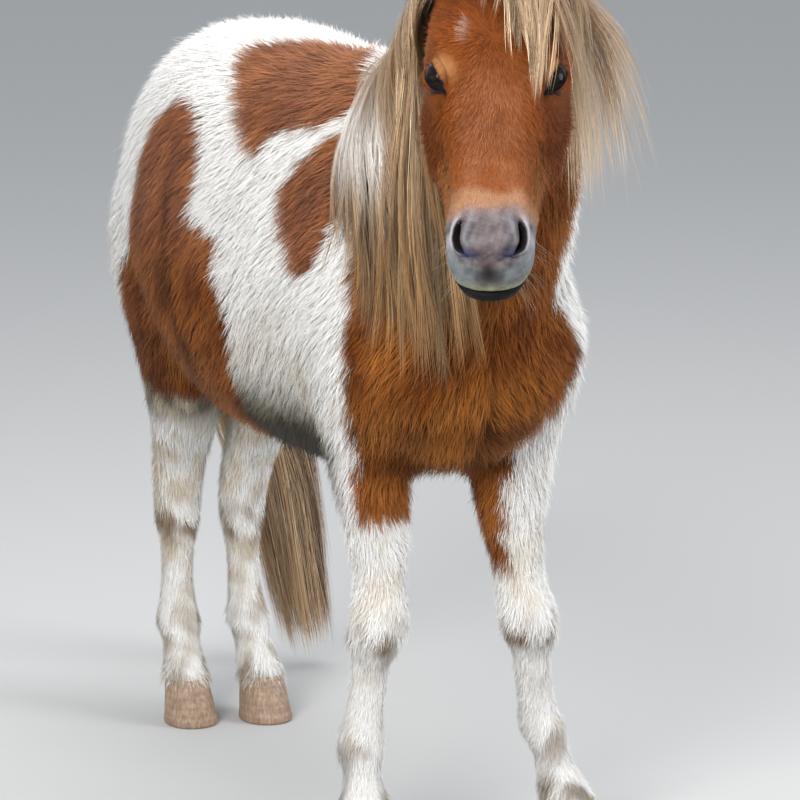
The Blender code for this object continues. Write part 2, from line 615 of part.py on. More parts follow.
TAIL = [  # the tail's own line: x, y, z, half width, half depth
    (0.000, 0.762, 0.824, 0.026, 0.022),
    (0.001, 0.798, 0.828, 0.031, 0.027),
    (0.006, 0.826, 0.796, 0.040, 0.033),
    (0.018, 0.846, 0.715, 0.052, 0.042),
    (0.046, 0.856, 0.600, 0.061, 0.047),
    (0.086, 0.858, 0.480, 0.066, 0.048),
    (0.126, 0.854, 0.360, 0.064, 0.046),
    (0.156, 0.850, 0.255, 0.057, 0.040),
    (0.168, 0.848, 0.180, 0.046, 0.032),
]
TAIL_TIPS = [((0.156, 0.850, 0.260), (0.185, 0.852, 0.160), (0.204, 0.856, 0.090), (0.236, 0.862, 0.016), 0.025),
             ((0.152, 0.850, 0.260), (0.165, 0.850, 0.160), (0.176, 0.848, 0.090), (0.192, 0.840, 0.018), 0.025),
             ((0.136, 0.850, 0.260), (0.140, 0.846, 0.160), (0.140, 0.842, 0.090), (0.138, 0.836, 0.014), 0.022)]

def tail_locks():
    T = np.array(TAIL)
    d = np.linalg.norm(np.diff(T[:, :3], axis=0), axis=1)
    t = np.concatenate([[0], np.cumsum(d)])
    S = through(t, T, np.linspace(0, t[-1], 26))
    tg = unit(np.gradient(S[:, :3], axis=0))
    rings = []
    for row, tv in zip(S, tg):
        e1 = unit(np.array(X) - tv * tv[0])
        e2 = np.cross(e1, tv)
        rings.append(superring(row[:3], e1, e2, row[3], row[4], row[4], 2.0, 2.0, 20))
    out = [skin_rings("tail_stock", rings)]
    for k, (a, b, c, tip, w) in enumerate(TAIL_TIPS):
        out.append(lock("tail_tip%d" % k, [a, b, c, tip], w, 0.016, clear=None))
    return out

# ---------------------------------------------------------------- nodes
brown, white, cream, hair = (paint("chestnut_coat", CHESTNUT, 0.75), paint("white_coat", WHITE_COAT, 0.8),
                             paint("cream_coat", (0.66, 0.58, 0.46), 0.8), paint("flaxen_hair", FLAXEN, 0.6))
grey = paint("muzzle_skin", (0.32, 0.27, 0.27), 0.6)
horn = paint("hoof_horn", (0.42, 0.33, 0.24), 0.5)
dark = paint("eye", (0.02, 0.012, 0.008), 0.08)

front, front_g = front_cell(0.0), front_cell(GAP)
head_c, head_g = head_cell(0.0), head_cell(GAP)
muzzle_c, muzzle_g = muzzle_cell(0.0), muzzle_cell(GAP)
legs, legs_g = leg_cells(0.0), leg_cells(GAP)

eyes = {"eye_R": -1, "eye_L": 1}
sockets = []
for name, side in eyes.items():
    finish(eyeball(side, EYE_R, name), dark)
    sockets.append(place(eyeball(side, EYE_R + GAP, "socket" + name[3:]), CUTTERS))

node_of(BODY, "trunk", white, ("DIFFERENCE", front_g), *[("DIFFERENCE", c) for c in legs_g.values()],
        ("INTERSECT", yz_cell("above_legs", -0.5, 0.5, [(-0.5, 1.3), (1.2, 1.3), (1.2, 0.30), (-0.5, 0.30)], 0)))
node_of(BODY, "neck", brown, ("INTERSECT", front), ("DIFFERENCE", head_g))
node_of(BODY, "head", brown, ("INTERSECT", head_c), ("DIFFERENCE", muzzle_g), *[("DIFFERENCE", s) for s in sockets])
node_of(BODY, "muzzle", grey, ("INTERSECT", muzzle_c))
for name, c in legs.items():
    node_of(BODY, name, white if name.startswith("forearm_L") else brown if name.startswith("forearm") else cream,
            ("INTERSECT", c))
for leg, outline, mid in (("fore_cannon", FORE_CANNON, MID_FORE), ("hind_cannon", HIND_CANNON, MID_HIND)):
    for sfx, x0, x1 in (("_R", -0.4, mid - GAP / 2), ("_L", mid + GAP / 2, 0.4)):
        node_of(BODY, leg + sfx, cream, ("INTERSECT", yz_cell("cell_" + leg + sfx, x0, x1, outline, 0)))
for leg, line in LINES.items():
    ob = skin_rings("hoof_" + leg, hoof_rings(line, 16, 0.98 if leg.startswith("fore") else 0.86))
    finish(ob, horn)

body_g = grown(BODY, "body_grown", GAP * 1.3)
ear_obs = []
for sfx, side in (("_R", -1), ("_L", 1)):
    ob = skin_rings("ear" + sfx, ear_rings(side, 10, 9)[0])
    cut(ob, body_g)
    ob = baked(ob, "ear" + sfx)
    only_largest(ob)
    ear_obs.append(finish(ob, brown))
ears_g = [grown(o, o.name + "_grown", GAP * 1.3) for o in ear_obs]
sockets_g = [place(eyeball(s, EYE_R + 2.5 * GAP, "lid_room%d" % s), CUTTERS) for s in (-1, 1)]

manes_g = []
for sfx, keep in (("right", 0.026), ("left", 0.022)):
    ob = fused(mane_locks(sfx), "mane_whole_" + sfx, 0.007, 4, keep)
    for c in [body_g] + ears_g + manes_g:
        cut(ob, c)
    ob = baked(ob, "mane_" + sfx)
    only_largest(ob)
    finish(ob, hair)
    manes_g.append(grown(ob, "mane_%s_grown" % sfx, GAP * 1.5))

fore = fused(forelock_locks(), "forelock_whole", 0.005, 3, 0.09)
for c in [body_g] + manes_g + ears_g + sockets_g:
    cut(fore, c)
fore = baked(fore, "forelock")
only_largest(fore)
finish(fore, hair)

tail = fused(tail_locks(), "tail_whole", 0.008, 4, 0.050)
cut(tail, body_g)
tail = baked(tail, "tail")
only_largest(tail)
finish(tail, hair)

for ob in PONY.objects:
    for v in ob.data.vertices:
        v.co.x += SHIFT[0]
        v.co.y += SHIFT[1]
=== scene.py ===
"""A shetland pony: its skin, coat, long hair, eyes and hooves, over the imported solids.
Metres, +Z up, the pony faces -Y and its left side is +X. Shapes are worked out in the pony's own
frame and moved by SHIFT at the end, as the solids are."""
import math

import bmesh
import bpy
import numpy as np
from mathutils import Matrix, Vector
from mathutils.bvhtree import BVHTree


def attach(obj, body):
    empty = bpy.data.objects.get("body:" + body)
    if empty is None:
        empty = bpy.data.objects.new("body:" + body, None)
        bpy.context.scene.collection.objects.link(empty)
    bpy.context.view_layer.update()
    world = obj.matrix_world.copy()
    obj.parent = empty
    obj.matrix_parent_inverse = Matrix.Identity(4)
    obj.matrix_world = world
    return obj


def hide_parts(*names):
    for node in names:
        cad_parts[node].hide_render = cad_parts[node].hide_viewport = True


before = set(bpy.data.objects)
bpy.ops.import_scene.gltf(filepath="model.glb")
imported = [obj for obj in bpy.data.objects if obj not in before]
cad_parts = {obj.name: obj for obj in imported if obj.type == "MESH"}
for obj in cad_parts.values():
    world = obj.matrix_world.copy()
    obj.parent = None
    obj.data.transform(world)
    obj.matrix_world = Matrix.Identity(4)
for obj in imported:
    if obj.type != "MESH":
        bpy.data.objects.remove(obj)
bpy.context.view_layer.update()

SHIFT = (0.0149, -0.1337)

# ---------------------------------------------------------------- curves
def through(t, rows, at):
    """Smooth curve through the rows (one row per station t), read at the values at."""
    t, rows, at = np.asarray(t, float), np.asarray(rows, float), np.asarray(at, float)
    h = np.diff(t)
    slope = np.diff(rows, axis=0) / h[:, None]
    m = np.empty_like(rows)
    m[0], m[-1] = slope[0], slope[-1]
    m[1:-1] = (slope[:-1] * h[1:, None] + slope[1:] * h[:-1, None]) / (h[1:] + h[:-1])[:, None]
    i = np.clip(np.searchsorted(t, at, side="right") - 1, 0, len(t) - 2)
    x = ((at - t[i]) / h[i])[:, None]
    hh = h[i][:, None]
    return ((2*x**3 - 3*x**2 + 1) * rows[i] + (x**3 - 2*x**2 + x) * hh * m[i]
            + (-2*x**3 + 3*x**2) * rows[i+1] + (x**3 - x**2) * hh * m[i+1])

def unit(v):
    v = np.asarray(v, float)
    return v / np.linalg.norm(v, axis=-1, keepdims=True)

def power(c, n):
    return np.sign(c) * np.abs(c) ** (2.0 / n)

def superring(c, e1, e2, a, up, dn, nu, nd, count):
    """Points of one section: an oval a wide each side, up and dn tall, squarer as nu and nd grow."""
    th = np.arange(count) * 2 * math.pi / count
    co, si = np.cos(th), np.sin(th)
    n = np.where(si >= 0, nu, nd)
    b = np.where(si >= 0, up, dn)
    x = a * power(co, n)
    y = b * power(si, n)
    return c + x[:, None] * e1 + y[:, None] * e2

def skin_rings(name, rings, tip0=None, tip1=None):
    """Closed mesh over a list of rings of equally many points."""
    n = len(rings[0])
    bm = bmesh.new()
    rows = [[bm.verts.new(p) for p in r] for r in rings]
    for r0, r1 in zip(rows[:-1], rows[1:]):
        for k in range(n):
            bm.faces.new((r0[k], r0[(k+1) % n], r1[(k+1) % n], r1[k]))
    for row, tip in ((rows[0], tip0), (rows[-1], tip1)):
        c = bm.verts.new(np.mean([v.co for v in row], axis=0) if tip is None else tip)
        for k in range(n):
            bm.faces.new((row[k], row[(k+1) % n], c))
    bmesh.ops.recalc_face_normals(bm, faces=bm.faces)
    me = bpy.data.meshes.new(name)
    bm.to_mesh(me)
    bm.free()
    ob = bpy.data.objects.new(name, me)
    bpy.context.scene.collection.objects.link(ob)
    return ob

def resampled(t, rows, step):
    t = np.asarray(t, float)
    at = [t[0]]
    n = max(2, int(round(abs(t[-1] - t[0]) / step)) + 1)
    return np.linspace(t[0], t[-1], n)

# ---------------------------------------------------------------- sizes
# trunk: y, height of the widest place, up to the back, down to the belly, half width, squareness up and down
TRUNK = [
    (-0.150, 0.610, 0.028, 0.032, 0.038, 2.0, 2.0),
    (-0.140, 0.612, 0.072, 0.070, 0.082, 2.0, 2.0),
    (-0.115, 0.618, 0.125, 0.114, 0.120, 2.0, 2.1),
    (-0.070, 0.628, 0.185, 0.154, 0.146, 1.9, 2.2),
    (-0.010, 0.636, 0.245, 0.180, 0.158, 1.8, 2.2),
    ( 0.060, 0.640, 0.280, 0.202, 0.161, 1.75, 2.2),
    ( 0.130, 0.643, 0.288, 0.213, 0.164, 1.85, 2.2),
    ( 0.220, 0.641, 0.284, 0.214, 0.174, 2.0, 2.2),
    ( 0.340, 0.641, 0.283, 0.213, 0.187, 2.15, 2.2),
    ( 0.450, 0.650, 0.280, 0.210, 0.186, 2.2, 2.2),
    ( 0.550, 0.664, 0.262, 0.190, 0.170, 2.15, 2.1),
    ( 0.640, 0.680, 0.228, 0.160, 0.148, 2.1, 2.0),
    ( 0.715, 0.690, 0.188, 0.135, 0.124, 2.0, 2.0),
    ( 0.770, 0.698, 0.142, 0.106, 0.094, 2.0, 2.0),
    ( 0.805, 0.702, 0.095, 0.072, 0.064, 2.0, 2.0),
    ( 0.820, 0.704, 0.045, 0.036, 0.032, 2.0, 2.0),
]
# neck: crest point x y z, underline point x y z, half width, squareness up and down
NECK = [
    (0.000, 0.200, 0.915, 0.000, -0.020, 0.490, 0.100, 1.9, 2.0),
    (0.000, 0.110, 0.922, 0.000, -0.108, 0.560, 0.125, 1.75, 2.0),
    (-0.002, 0.020, 0.942, -0.002, -0.152, 0.630, 0.132, 1.70, 2.0),
    (-0.012, -0.070, 0.984, -0.012, -0.180, 0.695, 0.122, 1.70, 2.0),
    (-0.033, -0.155, 1.032, -0.030, -0.208, 0.762, 0.105, 1.75, 2.0),
    (-0.062, -0.240, 1.074, -0.050, -0.244, 0.830, 0.090, 1.80, 2.0),
    (-0.091, -0.320, 1.102, -0.068, -0.282, 0.890, 0.078, 1.90, 2.0),
    (-0.112, -0.380, 1.108, -0.078, -0.310, 0.945, 0.066, 2.0, 2.0),
]
# head, in its own frame: u from the poll to the lips, w out of the forehead, v to the left
POLL = np.array((-0.120, -0.405, 1.088))
HEAD_YAW, HEAD_PITCH = math.radians(27.8), math.radians(45.0)
FWD = np.array((-math.sin(HEAD_YAW), -math.cos(HEAD_YAW), 0.0))
HU = FWD * math.cos(HEAD_PITCH) + np.array((0, 0, -math.sin(HEAD_PITCH)))
HW = FWD * math.sin(HEAD_PITCH) + np.array((0, 0, math.cos(HEAD_PITCH)))
HV = np.array((math.cos(HEAD_YAW), -math.sin(HEAD_YAW), 0.0))
# u, top, upper edge (half width, w), widest (half width, w), jaw side (half width, w), bottom
HEAD = [
    (-0.050, -0.020, 0.022, -0.026, 0.036, -0.060, 0.024, -0.092, -0.104),
    (-0.025, -0.006, 0.030, -0.012, 0.050, -0.054, 0.036, -0.106, -0.124),
    (0.010, 0.004, 0.038, -0.003, 0.063, -0.044, 0.047, -0.125, -0.148),
    (0.050, 0.014, 0.047, 0.005, 0.073, -0.036, 0.053, -0.140, -0.167),
    (0.095, 0.020, 0.053, 0.009, 0.077, -0.034, 0.056, -0.145, -0.175),
    (0.140, 0.019, 0.053, 0.007, 0.0780, -0.038, 0.055, -0.138, -0.167),
    (0.180, 0.015, 0.047, 0.004, 0.0745, -0.048, 0.049, -0.120, -0.146),
    (0.230, 0.010, 0.040, 0.001, 0.0655, -0.054, 0.041, -0.098, -0.118),
    (0.275, 0.005, 0.037, -0.003, 0.0570, -0.049, 0.035, -0.081, -0.098),
    (0.305, 0.002, 0.035, -0.006, 0.0500, -0.044, 0.032, -0.075, -0.092),
    (0.328, -0.001, 0.033, -0.010, 0.0465, -0.040, 0.031, -0.074, -0.090),
    (0.352, -0.005, 0.033, -0.014, 0.0460, -0.040, 0.031, -0.075, -0.087),
    (0.372, -0.014, 0.029, -0.021, 0.0390, -0.044, 0.027, -0.072, -0.081),
    (0.386, -0.028, 0.020, -0.034, 0.0275, -0.049, 0.018, -0.065, -0.072),
    (0.392, -0.041, 0.009, -0.044, 0.0125, -0.053, 0.008, -0.059, -0.062),
]

def headp(u, v, w):
    u, v, w = np.asarray(u, float), np.asarray(v, float), np.asarray(w, float)
    return POLL + u[..., None] * HU + v[..., None] * HV + w[..., None] * HW

def closed_smooth(P, count):
    """Closed smooth loop through the points P, read at count places."""
    n = len(P)
    Q = np.concatenate([P[-2:], P, P[:3]])
    d = np.linalg.norm(np.diff(Q, axis=0), axis=1) ** 0.5
    t = np.concatenate([[0], np.cumsum(d)])
    at = np.linspace(t[2], t[n + 2], count, endpoint=False)
    return through(t, Q, at)

def head_rings(step=0.006, count=48):
    T = np.array(HEAD)
    us = resampled(T[:, 0], T, step)
    R = through(T[:, 0], T[:, 1:], us)
    rings = []
    for u, (top, wt, zt, wm, zm, wl, zl, bot) in zip(us, R):
        P = np.array([(0, top), (wt, zt), (wm, zm), (wl, zl), (0, bot), (-wl, zl), (-wm, zm), (-wt, zt)])
        L = closed_smooth(P, count)
        rings.append(headp(np.full(count, u), L[:, 0], L[:, 1]))
    return rings

# legs: named places down the leg: height, lateral half width, forward and backward depth, squareness
FORE = [  # z, half width, front, back
    (0.760, 0.040, 0.065, 0.075),
    (0.700, 0.052, 0.090, 0.095),
    (0.620, 0.060, 0.100, 0.105),
    (0.550, 0.060, 0.090, 0.098),
    (0.490, 0.054, 0.068, 0.078),
    (0.430, 0.0470, 0.053, 0.056),
    (0.375, 0.0385, 0.042, 0.042),
    (0.328, 0.0345, 0.036, 0.036),
    (0.294, 0.0385, 0.041, 0.037),
    (0.264, 0.0375, 0.040, 0.037),
    (0.238, 0.0265, 0.0275, 0.030),
    (0.200, 0.0240, 0.0245, 0.030),
    (0.165, 0.0240, 0.0245, 0.032),
    (0.137, 0.0290, 0.0285, 0.038),
    (0.120, 0.0270, 0.0265, 0.036),
    (0.104, 0.0225, 0.0235, 0.029),
    (0.086, 0.0290, 0.0300, 0.029),
    (0.070, 0.0325, 0.0345, 0.031),
    (0.036, 0.0325, 0.0345, 0.031),
]
HIND = [
    (0.800, 0.045, 0.095, 0.095),
    (0.730, 0.060, 0.135, 0.140),
    (0.650, 0.066, 0.155, 0.165),
    (0.580, 0.065, 0.145, 0.160),
    (0.520, 0.060, 0.122, 0.132),
    (0.460, 0.053, 0.088, 0.094),
    (0.410, 0.046, 0.064, 0.064),
    (0.365, 0.0405, 0.048, 0.050),
    (0.330, 0.0365, 0.040, 0.046),
    (0.295, 0.0345, 0.037, 0.042),
    (0.260, 0.0300, 0.032, 0.036),
    (0.228, 0.0250, 0.0265, 0.030),
    (0.180, 0.0225, 0.0240, 0.029),
    (0.148, 0.0255, 0.0265, 0.033),
    (0.122, 0.0310, 0.0300, 0.038),
    (0.102, 0.0255, 0.0265, 0.032),
    (0.082, 0.0290, 0.0300, 0.029),
    (0.064, 0.0315, 0.0335, 0.030),
    (0.036, 0.0315, 0.0335, 0.030),
]
# places of each leg's own line: z, x, y
LINES = {
    "fore_R": [(0.78, -0.070, 0.050), (0.70, -0.088, 0.018), (0.62, -0.098, -0.005), (0.54, -0.094, 0.005), (0.48, -0.085, 0.010),
               (0.40, -0.080, 0.004), (0.32, -0.079, -0.004), (0.28, -0.082, -0.008), (0.22, -0.088, 0.000),
               (0.165, -0.095, 0.003), (0.137, -0.099, 0.000), (0.104, -0.103, -0.011), (0.050, -0.107, -0.028)],
    "fore_L": [(0.78, 0.070, 0.042), (0.70, 0.092, 0.005), (0.62, 0.104, -0.018), (0.54, 0.100, -0.012), (0.48, 0.088, -0.010),
               (0.40, 0.083, -0.018), (0.32, 0.090, -0.030), (0.28, 0.096, -0.036), (0.22, 0.107, -0.028),
               (0.165, 0.117, -0.022), (0.137, 0.123, -0.025), (0.104, 0.131, -0.036), (0.050, 0.141, -0.053)],
    "hind_R": [(0.80, -0.066, 0.610), (0.73, -0.076, 0.622), (0.65, -0.082, 0.622), (0.58, -0.080, 0.620), (0.52, -0.073, 0.622), (0.46, -0.063, 0.638),
               (0.41, -0.057, 0.658), (0.365, -0.053, 0.680), (0.33, -0.051, 0.695), (0.295, -0.050, 0.702),
               (0.22, -0.051, 0.702), (0.16, -0.053, 0.697), (0.122, -0.055, 0.688), (0.095, -0.056, 0.676), (0.048, -0.058, 0.656)],
    "hind_L": [(0.80, 0.066, 0.610), (0.73, 0.076, 0.618), (0.65, 0.082, 0.612), (0.58, 0.078, 0.606), (0.52, 0.070, 0.606), (0.46, 0.059, 0.620),
               (0.41, 0.049, 0.638), (0.365, 0.041, 0.658), (0.33, 0.036, 0.672), (0.295, 0.033, 0.681),
               (0.22, 0.032, 0.682), (0.16, 0.034, 0.677), (0.122, 0.035, 0.667), (0.095, 0.036, 0.655), (0.048, 0.038, 0.634)],
}
HOOF_TOP, HOOF_HEIGHT = 0.058, 0.058

def leg_rings(table, line, step=0.008, count=32):
    T, Ln = np.array(table)[::-1], np.array(line)[::-1]
    zs = np.linspace(T[0, 0], T[-1, 0], int((T[-1, 0] - T[0, 0]) / step) + 1)
    S = through(T[:, 0], T[:, 1:], zs)
    X = through(Ln[:, 0], Ln[:, 1:], np.clip(zs, Ln[0, 0], Ln[-1, 0]))
    e1, e2 = np.array((1.0, 0, 0)), np.array((0, -1.0, 0))
    return [superring(np.array((x, y, z)), e1, e2, a, f, b, 2.1, 2.0, count) for z, (a, f, b), (x, y) in zip(zs, S, X)]

def trunk_rings(step=0.012, count=56):
    T = np.array(TRUNK)
    ys = np.linspace(T[0, 0], T[-1, 0], int((T[-1, 0] - T[0, 0]) / step) + 1)
    S = through(T[:, 0], T[:, 1:], ys)
    e1, e2 = np.array((1.0, 0, 0)), np.array((0, 0, 1.0))
    return [superring(np.array((0, y, zc)), e1, e2, hw, up, dn, nu, nd, count) for y, (zc, up, dn, hw, nu, nd) in zip(ys, S)]

def neck_rings(step=0.012, count=48):
    N = np.array(NECK)
    mid = (N[:, 0:3] + N[:, 3:6]) / 2
    d = np.linalg.norm(np.diff(mid, axis=0), axis=1)
    t = np.concatenate([[0], np.cumsum(d)])
    at = np.linspace(0, t[-1], int(t[-1] / step) + 1)
    S = through(t, N, at)
    M = (S[:, 0:3] + S[:, 3:6]) / 2
    tang = unit(np.gradient(M, axis=0))
    rings = []
    for row, m, tg in zip(S, M, tang):
        up = row[0:3] - row[3:6]
        h = np.linalg.norm(up) / 2
        e2 = up / (2 * h)
        e1 = unit(np.cross(e2, tg))
        if e1[0] < 0:
            e1 = -e1
        rings.append(superring(m, e1, e2, row[6], h, h, row[7], row[8], count))
    return rings

def hoof_rings(line, count=32, scale=1.0):
    Ln = np.array(line)
    x, y = Ln[-1, 1], Ln[-1, 2]
    rows = [  # z, forward shift, half width, front, back
        (0.0000, 0.012, 0.0385, 0.046, 0.033),
        (0.0015, 0.012, 0.0393, 0.047, 0.034),
        (0.0160, 0.010, 0.0382, 0.0445, 0.034),
        (0.0340, 0.006, 0.0358, 0.0408, 0.033),
        (0.0500, 0.002, 0.0333, 0.0370, 0.032),
        (0.0580, 0.000, 0.0322, 0.0350, 0.031),
    ]
    out = []
    for z, s, a, f, b in rows:
        ring = superring(np.array((x, y - s, z)), np.array((1.0, 0, 0)), np.array((0, -1.0, 0)), a * scale, f * scale, b * scale, 2.1, 2.6, count)
        out.append(ring)
    return out

def ear_rings(side, count=24, stations=18):
    """A small pricked ear: a cupped leaf on the poll, side is +1 for the left."""
    base = headp(0.008, side * 0.047, -0.010)
    axis = unit(-HU * 0.60 + HW * 0.80 + HV * side * 0.16)
    fwd = unit(HW * 0.45 + HU * 0.75 + HV * side * 0.55)
    fwd = unit(fwd - axis * (fwd @ axis))
    lat = np.cross(axis, fwd)
    rows = [(-0.020, 0.020, 0.016), (0.0, 0.0215, 0.0175), (0.020, 0.0240, 0.018), (0.040, 0.0245, 0.0165), (0.060, 0.0215, 0.0135),
            (0.078, 0.0160, 0.0095), (0.092, 0.0095, 0.0060), (0.102, 0.0030, 0.0022)]
    T = np.array(rows)
    ss = np.linspace(T[0, 0], T[-1, 0], stations)
    S = through(T[:, 0], T[:, 1:], ss)
    return [superring(base + axis * s, lat, fwd, a, b, b, 2.0, 2.0, count) for s, (a, b) in zip(ss, S)], base, axis, fwd, lat

# ---------------------------------------------------------------- small maths
def smooth(a, b, x):
    t = np.clip((x - a) / (b - a), 0.0, 1.0)
    return t * t * (3 - 2 * t)

def dot(a, b):
    return np.einsum("...i,...i->...", a, b)

_wr = np.random.default_rng(11)
_WAVES = [(_wr.normal(size=(12, 3)), _wr.uniform(0, 6.283, 12)) for _ in range(8)]

def waves(p, size, kind=0):
    """Soft random values between about -1 and 1 that change over the given size."""
    k, ph = _WAVES[kind]
    k = k / np.linalg.norm(k, axis=1, keepdims=True) * (_WAVES_LEN[:, None])
    return np.sin(p @ (k.T / size) * 3.0 + ph).sum(1) / 4.2

_WAVES_LEN = np.linspace(0.6, 1.7, 12)

def hash3(i):
    """A repeatable random number from whole-numbered cells."""
    i = i.astype(np.int64)
    h = (i[..., 0] * 73856093) ^ (i[..., 1] * 19349663) ^ (i[..., 2] * 83492791)
    h = (h ^ (h >> 13)) * 1274126177
    h = (h ^ (h >> 16)) & 0x7FFFFFFF
    return h / float(0x7FFFFFFF)

# ---------------------------------------------------------------- mesh access
def coords(me):
    a = np.empty(len(me.vertices) * 3, np.float32)
    me.vertices.foreach_get("co", a)
    return a.reshape(-1, 3).astype(float)

def set_coords(me, p):
    me.vertices.foreach_set("co", np.asarray(p, np.float32).ravel())
    me.update()

def normals(me):
    a = np.empty(len(me.vertices) * 3, np.float32)
    me.vertices.foreach_get("normal", a)
    return a.reshape(-1, 3).astype(float)

def link(ob):
    bpy.context.scene.collection.objects.link(ob)
    return ob

def applied(ob):
    """Replaces ob's mesh with the shape its modifiers give."""
    dg = bpy.context.evaluated_depsgraph_get()
    dg.update()
    me = bpy.data.meshes.new_from_object(ob.evaluated_get(dg))
    old = ob.data
    ob.modifiers.clear()
    ob.data = me
    bpy.data.meshes.remove(old)
    return ob

def joined(obs, name):
    bm = bmesh.new()
    for o in obs:
        bm.from_mesh(o.data)
    me = bpy.data.meshes.new(name)
    bm.to_mesh(me)
    bm.free()
    for o in obs:
        bpy.data.objects.remove(o)
    return link(bpy.data.objects.new(name, me))

def to_head(p):
    q = p - POLL
    return dot(q, HU), dot(q, HV), dot(q, HW)

# ---------------------------------------------------------------- regions
def weights(p):
    """How far a point belongs to the head, the neck, each leg and the trunk."""
    u, v, w = to_head(p)
    near = np.sqrt(v * v + np.maximum(0, np.abs(w + 0.06) - 0.13) ** 2)
    head = smooth(-0.075, -0.010, u + 0.25 * (w + 0.06)) * smooth(0.20, 0.13, near)
    n0, n1 = np.array((0, -0.07, 0.81)), np.array((0, -0.71, 0.70))
    ax = n1 / np.linalg.norm(n1)
    neck = smooth(-0.06, 0.05, (p - n0) @ ax) * (1 - head)
    leg = np.zeros(len(p))
    z = p[:, 2]
    fore = smooth(0.50, 0.40, z) * smooth(0.14, 0.07, p[:, 1])
    hind = smooth(0.52, 0.42, z) * smooth(0.46, 0.54, p[:, 1])
    leg = np.maximum(fore, hind)
    return head, neck, leg

def coat_depth(p):
    """How far the skin lies under the tips of the coat."""
    head, neck, leg = weights(p)
    u, v, w = to_head(p)
    face = 0.0038 * smooth(0.325, 0.26, u) + 0.0005
    face = face + 0.004 * smooth(-0.06, -0.12, w) * smooth(0.26, 0.18, u)
    z = p[:, 2]
    low = 0.0034 + 0.0036 * smooth(0.15, 0.40, z)
    d = 0.0118 * (1 - head - neck * (1 - leg)) + 0.0112 * neck + face * head
    return d * (1 - leg) + low * leg

# ---------------------------------------------------------------- the skin, whole
def body_skin():
    forms = [skin_rings("trunk_form", trunk_rings(0.008, 96)), skin_rings("neck_form", neck_rings(0.008, 80)),
             skin_rings("head_form", head_rings(0.004, 96))]
    for leg, line in LINES.items():
        forms.append(skin_rings(leg + "_form", leg_rings(FORE if leg.startswith("fore") else HIND, line, 0.006, 48)))
    ob = joined(forms, "pony_skin")
    m = ob.modifiers.new("one", "REMESH")
    m.mode, m.voxel_size, m.adaptivity = "VOXEL", 0.0062, 0.0
    m = ob.modifiers.new("soft", "SMOOTH")
    m.factor, m.iterations = 0.5, 10
    applied(ob)
    me = ob.data
    p, n = coords(me), normals(me)
    set_coords(me, p - n * coat_depth(p)[:, None])
    return ob

# the eyes: centre, outward axis, direction of the slit towards the nose, and up across it
EYE_R = 0.0206
def eye_frame(side):
    c = headp(0.1490, side * 0.0530, -0.0168)
    a = unit(HU * 0.42 + HV * side * 0.74 + HW * 0.52)
    t = unit(HU * 0.78 - HV * side * 0.58 + HW * 0.04)
    t = unit(t - a * (t @ a))
    b = np.cross(a, t) * side
    if b @ HW < 0:
        b = -b
    return c, a, t, b

def nostril_frame(side):
    c = headp(0.3545, side * 0.0325, -0.0130)
    a = unit(HU * 0.50 + HV * side * 0.66 + HW * 0.50)
    t = unit(HU * 0.80 - HW * 0.52 - HV * side * 0.16)
    t = unit(t - a * (t @ a))
    b = unit(HV * side - a * (a @ HV) * side)
    b = unit(b - t * (b @ t))
    return c, a, t, b

EYE_A, EYE_UP, EYE_LOW = 0.0188, 0.0076, 0.0028

def eye_rho(p, side):
    c, a, t, b = eye_frame(side)
    q = p - c
    x, y, z = q @ t, q @ b, q @ a
    r = np.linalg.norm(q, axis=1)
    y = y + 0.0022 * (x / EYE_A)
    h = np.where(y > 0, EYE_UP, EYE_LOW)
    rho = (np.abs(x / EYE_A) ** 1.75 + np.abs(y / h) ** 1.75) ** (1 / 1.75)
    return q, r, z, rho, y

def nostril_rho(p, side):
    c, a, t, b = nostril_frame(side)
    q = p - c
    x, y, z = q @ t, q @ b, q @ a
    y = y - 0.0036 + 22.0 * (x + 0.004) ** 2 * np.where(x > -0.004, 1.0, 0.30)
    half = 0.0040 - 0.06 * x + 0.0010 * np.exp(-((x - 0.0105) / 0.005) ** 2)
    rho = ((x / 0.0168) ** 2 + (y / np.maximum(half, 0.0030)) ** 2) ** 0.5
    return q, z, rho, x, y

def finer(ob, where, times=1):
    """Splits the faces whose middle satisfies where."""
    for k in range(times):
        bm = bmesh.new()
        bm.from_mesh(ob.data)
        bm.faces.ensure_lookup_table()
        mid = np.array([f.calc_center_median() for f in bm.faces])
        pick = where(mid, k)
        edges = set()
        for i in np.nonzero(pick)[0]:
            edges.update(bm.faces[i].edges)
        bmesh.ops.subdivide_edges(bm, edges=list(edges), cuts=1, use_grid_fill=True, smooth=0.0)
        bm.to_mesh(ob.data)
        bm.free()

def relax(me, pick, times):
    """Evens the surface out where pick says, without a modifier."""
    p = coords(me)
    e = np.empty(len(me.edges) * 2, np.int32)
    me.edges.foreach_get("vertices", e)
    e = e.reshape(-1, 2)
    n = np.bincount(e.ravel(), minlength=len(p)).astype(float)
    w = np.clip(pick(p), 0, 1)[:, None]
    for _ in range(times):
        s = np.zeros_like(p)
        for k in range(3):
            s[:, k] = np.bincount(e[:, 0], weights=p[e[:, 1], k], minlength=len(p)) + np.bincount(e[:, 1], weights=p[e[:, 0], k], minlength=len(p))
        p = p + (s / np.maximum(n, 1)[:, None] - p) * 0.5 * w
    set_coords(me, p)

def near_eye(p, r):
    return np.minimum(np.linalg.norm(p - eye_frame(1)[0], axis=1), np.linalg.norm(p - eye_frame(-1)[0], axis=1)) < r

def mouth_line(u, v):
    """Height of the slit of the mouth in the head's own frame."""
    return -0.0590 + 0.0055 * smooth(0.350, 0.386, u) * (1 - 0.6 * np.clip(np.abs(v) / 0.030, 0, 1) ** 2)

